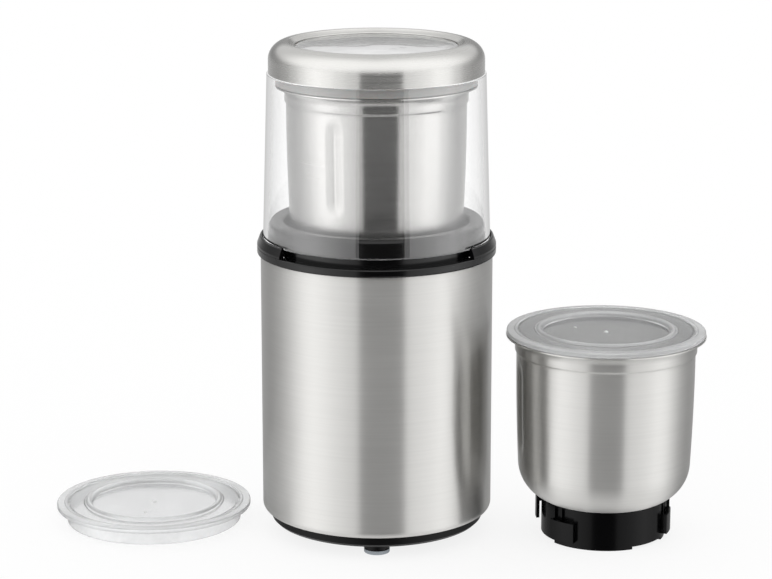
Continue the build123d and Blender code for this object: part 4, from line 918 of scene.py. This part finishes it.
# The moulded window is not quite flat: slow waves run through it, and none through the wall
wave_scale = 52.0
wave_detail = 1.5
window_wave_depth = 0.34 * mm
wave_foot = (panel_top - 4.5) * mm
wave_full = (panel_top - 2.5) * mm
dome_up = add_node(tree, "ShaderNodeSeparateXYZ", None, [dome_place]).outputs["Z"]
in_window = add_ramp(tree, dome_up, wave_foot, wave_full, 0.0, 1.0)
wave_noise = add_noise(tree, dome_place, wave_scale, wave_detail)
waves = add_sum(tree, "MULTIPLY", wave_noise, in_window)
add_bump(tree, shader, waves, window_wave_depth)
dome.data.materials.append(clear_plastic)
dome.visible_glossy = False
dome.visible_diffuse = False
dome.visible_shadow = False
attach(dome, "lid")
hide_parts("lid_dome")


# ---- Steel cap of the lid -------------------------------------------------------------
# Drawn from steel sheet and brushed: a skirt round the dome's neck, a large soft roll, a step
# down to the window and a rolled edge round it. It snaps over the clear dome.

cap_low, cap_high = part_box("lid_cap")
cap_radius = cap_high.x / mm
cap_foot = cap_low.z / mm
cap_top = cap_high.z / mm
cap_wall = 0.6
crown_width = 8.4
crown_height = 8.0
window_radius = 35.9
cap_step = window_radius + 3.2
step_round = 0.9
edge_top = cap_top - 1.45
edge_width = 1.0
edge_roll = 0.5


def crown(inset, start, end, count):
    """Points of the cap's oval roll, between two angles in degrees, set in by the sheet."""
    angles = [math.radians(start + (end - start) * k / count) for k in range(count + 1)]
    return [
        (
            cap_radius - crown_width + (crown_width - inset) * math.cos(a),
            cap_top - crown_height + (crown_height - inset) * math.sin(a),
        )
        for a in angles
    ]


cap_outline = [
    (cap_radius, cap_foot),
    *crown(0.0, 0, 88, 22),
    *arc(cap_step + 0.7, cap_top - step_round, step_round, 96, 150, 5),
    *arc(window_radius + edge_width, edge_top - 0.55, edge_roll, 70, 180, 7),
    (window_radius + edge_roll, edge_top - cap_wall),
    (window_radius + edge_width, edge_top - cap_wall),
    (cap_step, cap_top - 0.7 - cap_wall),
    (cap_step + 0.6, cap_top - cap_wall - 0.1),
    *crown(cap_wall, 84, 0, 16),
    (cap_radius - cap_wall, cap_foot),
]
cap = lathe("steel_cap", cap_outline, steps=256)
cap_colour = (0.535, 0.53, 0.515)
cap.data.materials.append(
    brushed_finish("brushed_cap_steel", (0, 0, 0), cap_colour, roughness=0.27, depth=0.001 * mm)
)
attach(cap, "lid")
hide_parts("lid_cap")


# ---- Spare cup ------------------------------------------------------------------------
# The same pressed bowl on the same black skirt, with a knife of four blades in it, standing
# on its skirt beside the base.

spare_low, spare_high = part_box("spare_bowl")
spare_centre = (*((spare_low + spare_high) / 2).xy, 0.0)
spare_steel = turned_finish("turned_spare_steel", spare_centre, screw_colour, roughness=0.32)
spare_bowl = pressed_bowl
spare_bowl.name = "spare_cup_bowl"
spare_bowl.location = spare_centre
settle(spare_bowl)
spare_bowl.data.materials.append(
    brushed_finish("brushed_spare_cup_steel", spare_centre, steel_colour, roughness=0.37)
)
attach(spare_bowl, "spare_cup")
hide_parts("spare_bowl")
dress(black_skirt, "spare_skirt")
dress(spare_steel, "spare_bearing", "spare_bearing_nut", "spare_clip")
dress(shaft_steel, "spare_spindle", "spare_knife_nut")
dress(knife_steel, "spare_knife")
dress(matt_black, "spare_coupling")


# ---- Storage lids ---------------------------------------------------------------------
# Two frosted press-in lids: a plug that grips inside the cup's neck, a flange over its rim, a
# low ridge, a round bead about the sunk middle, and two small marks that the mould left.

frosted_plastic = moulded_finish(
    "frosted_plastic", (0.87, 0.875, 0.88), roughness=0.11, grain=500.0, depth=0.001 * mm,
    spread=0.06, Transmission_Weight=0.93, IOR=1.46,
)
# Painted glint: the raised mould marks get an opaque white so that they show as bright points.
gate_mark_glint_finish = moulded_finish(
    "gate_mark_painted_glint", (0.95, 0.95, 0.95), roughness=0.35, grain=1500.0, depth=0.004 * mm,
    Transmission_Weight=0.2,
)
# Painted highlight: a whiter, less clear copy of the frosted plastic for the bead and the outer
# flange, which stands in for the highlights on the bead and the light coming through the flange.
milky_highlight_plastic = moulded_finish(
    "milky_highlight_plastic", (0.93, 0.935, 0.94), roughness=0.16, grain=500.0, depth=0.001 * mm,
    spread=0.06, Transmission_Weight=0.58, IOR=1.46,
)
gate_radius = 1.1
gate_height = 0.7
mark_radius = 0.8
mark_height = 0.5
mark_root = 0.4
flange_drop = 0.8
flange_thickness = 2.2
flange_round = 0.7
plug_radius = 40.3
plug_round = 0.75
plug_wall = 1.5
panel_drop = 1.5
bead_radius = 30.3
bead_half = 1.4
bead_fillet = 0.4
ridge_radius = 40.9
ridge_round = 0.9
ridge_sink = 0.5
above_panel = 0.02
# Reach of the whiter painted-light bands: about the bead, and outwards from the flange.
painted_highlight_bead_reach = bead_half + 0.3
painted_light_flange_start = ridge_radius - 1.5
for node, body, name, mark_shift in (
    ("spare_storage_lid", "spare_lid", "fitted_storage_lid", (-13.4, 8.2)),
    ("loose_storage_lid", "loose_lid", "loose_lid_piece", (-2.9, -15.6)),
):
    lid_low, lid_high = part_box(node)
    lid_centre = ((lid_low + lid_high) / 2).xy
    flange_radius = (lid_high.x - lid_low.x) / 2 / mm
    plug_foot = lid_low.z / mm
    bead_top = lid_high.z / mm
    flange_top = bead_top - flange_drop
    flange_foot = flange_top - flange_thickness
    panel = flange_top - panel_drop
    lid_outline = [
        (0, panel + gate_height),
        *arc(0, panel + gate_height - gate_radius, gate_radius, 80, 35, 5),
        (gate_radius, panel),
        (gate_radius + 1.0, panel),
        (bead_radius - bead_half - bead_fillet, panel),
        (bead_radius - bead_half, panel + bead_fillet),
        *arc(bead_radius, bead_top - bead_half, bead_half, 180, 25, 12),
        (bead_radius + bead_half + 0.5, flange_top),
        *arc(ridge_radius, flange_top - ridge_sink, ridge_round, 146, 34, 6),
        *arc(flange_radius - flange_round, flange_top - flange_round, flange_round, 90, 0, 6),
        *arc(flange_radius - edge_round, flange_foot + edge_round, edge_round, 0, -90, 5),
        (plug_radius, flange_foot),
        *arc(plug_radius - plug_round, plug_foot + plug_round, plug_round, 0, -180, 8),
        (plug_radius - plug_wall, flange_top - plug_wall),
        (bead_radius + bead_half + 1.0, flange_top - plug_wall),
        (bead_radius + bead_half, panel - plug_wall),
        (0, panel - plug_wall),
    ]
    mark_outline = [
        (0, panel + mark_height),
        *arc(0, panel + mark_height - mark_radius, mark_radius, 75, 20, 5),
        (mark_radius - 0.1, panel - mark_root),
        (0, panel - mark_root),
    ]
    mark_centre = (lid_centre[0] + mark_shift[0] * mm, lid_centre[1] + mark_shift[1] * mm)
    storage_lid = lathe(name, lid_outline, centre=lid_centre)
    mould_mark = lathe("mould_mark", mark_outline, centre=mark_centre, steps=24)
    combine(storage_lid, "UNION", mould_mark)
    storage_lid.data.materials.append(frosted_plastic)
    storage_lid.data.materials.append(gate_mark_glint_finish)
    storage_lid.data.materials.append(milky_highlight_plastic)
    # Slot 1 holds the marks' finish, white as a painted glint, and slot 2 the milky one of the
    # thick bead and flange, whiter as painted highlight on the bead and painted light through the
    # flange
    for face in storage_lid.data.polygons:
        from_centre = (face.center.xy - lid_centre).length / mm
        from_mark = math.dist(face.center.xy, mark_centre) / mm
        proud = face.center.z > (panel + above_panel) * mm
        if proud and min(from_centre, from_mark) < gate_radius:
            face.material_index = 1
        elif abs(from_centre - bead_radius) < painted_highlight_bead_reach or from_centre > painted_light_flange_start:
            face.material_index = 2
    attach(storage_lid, body)
    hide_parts(node)
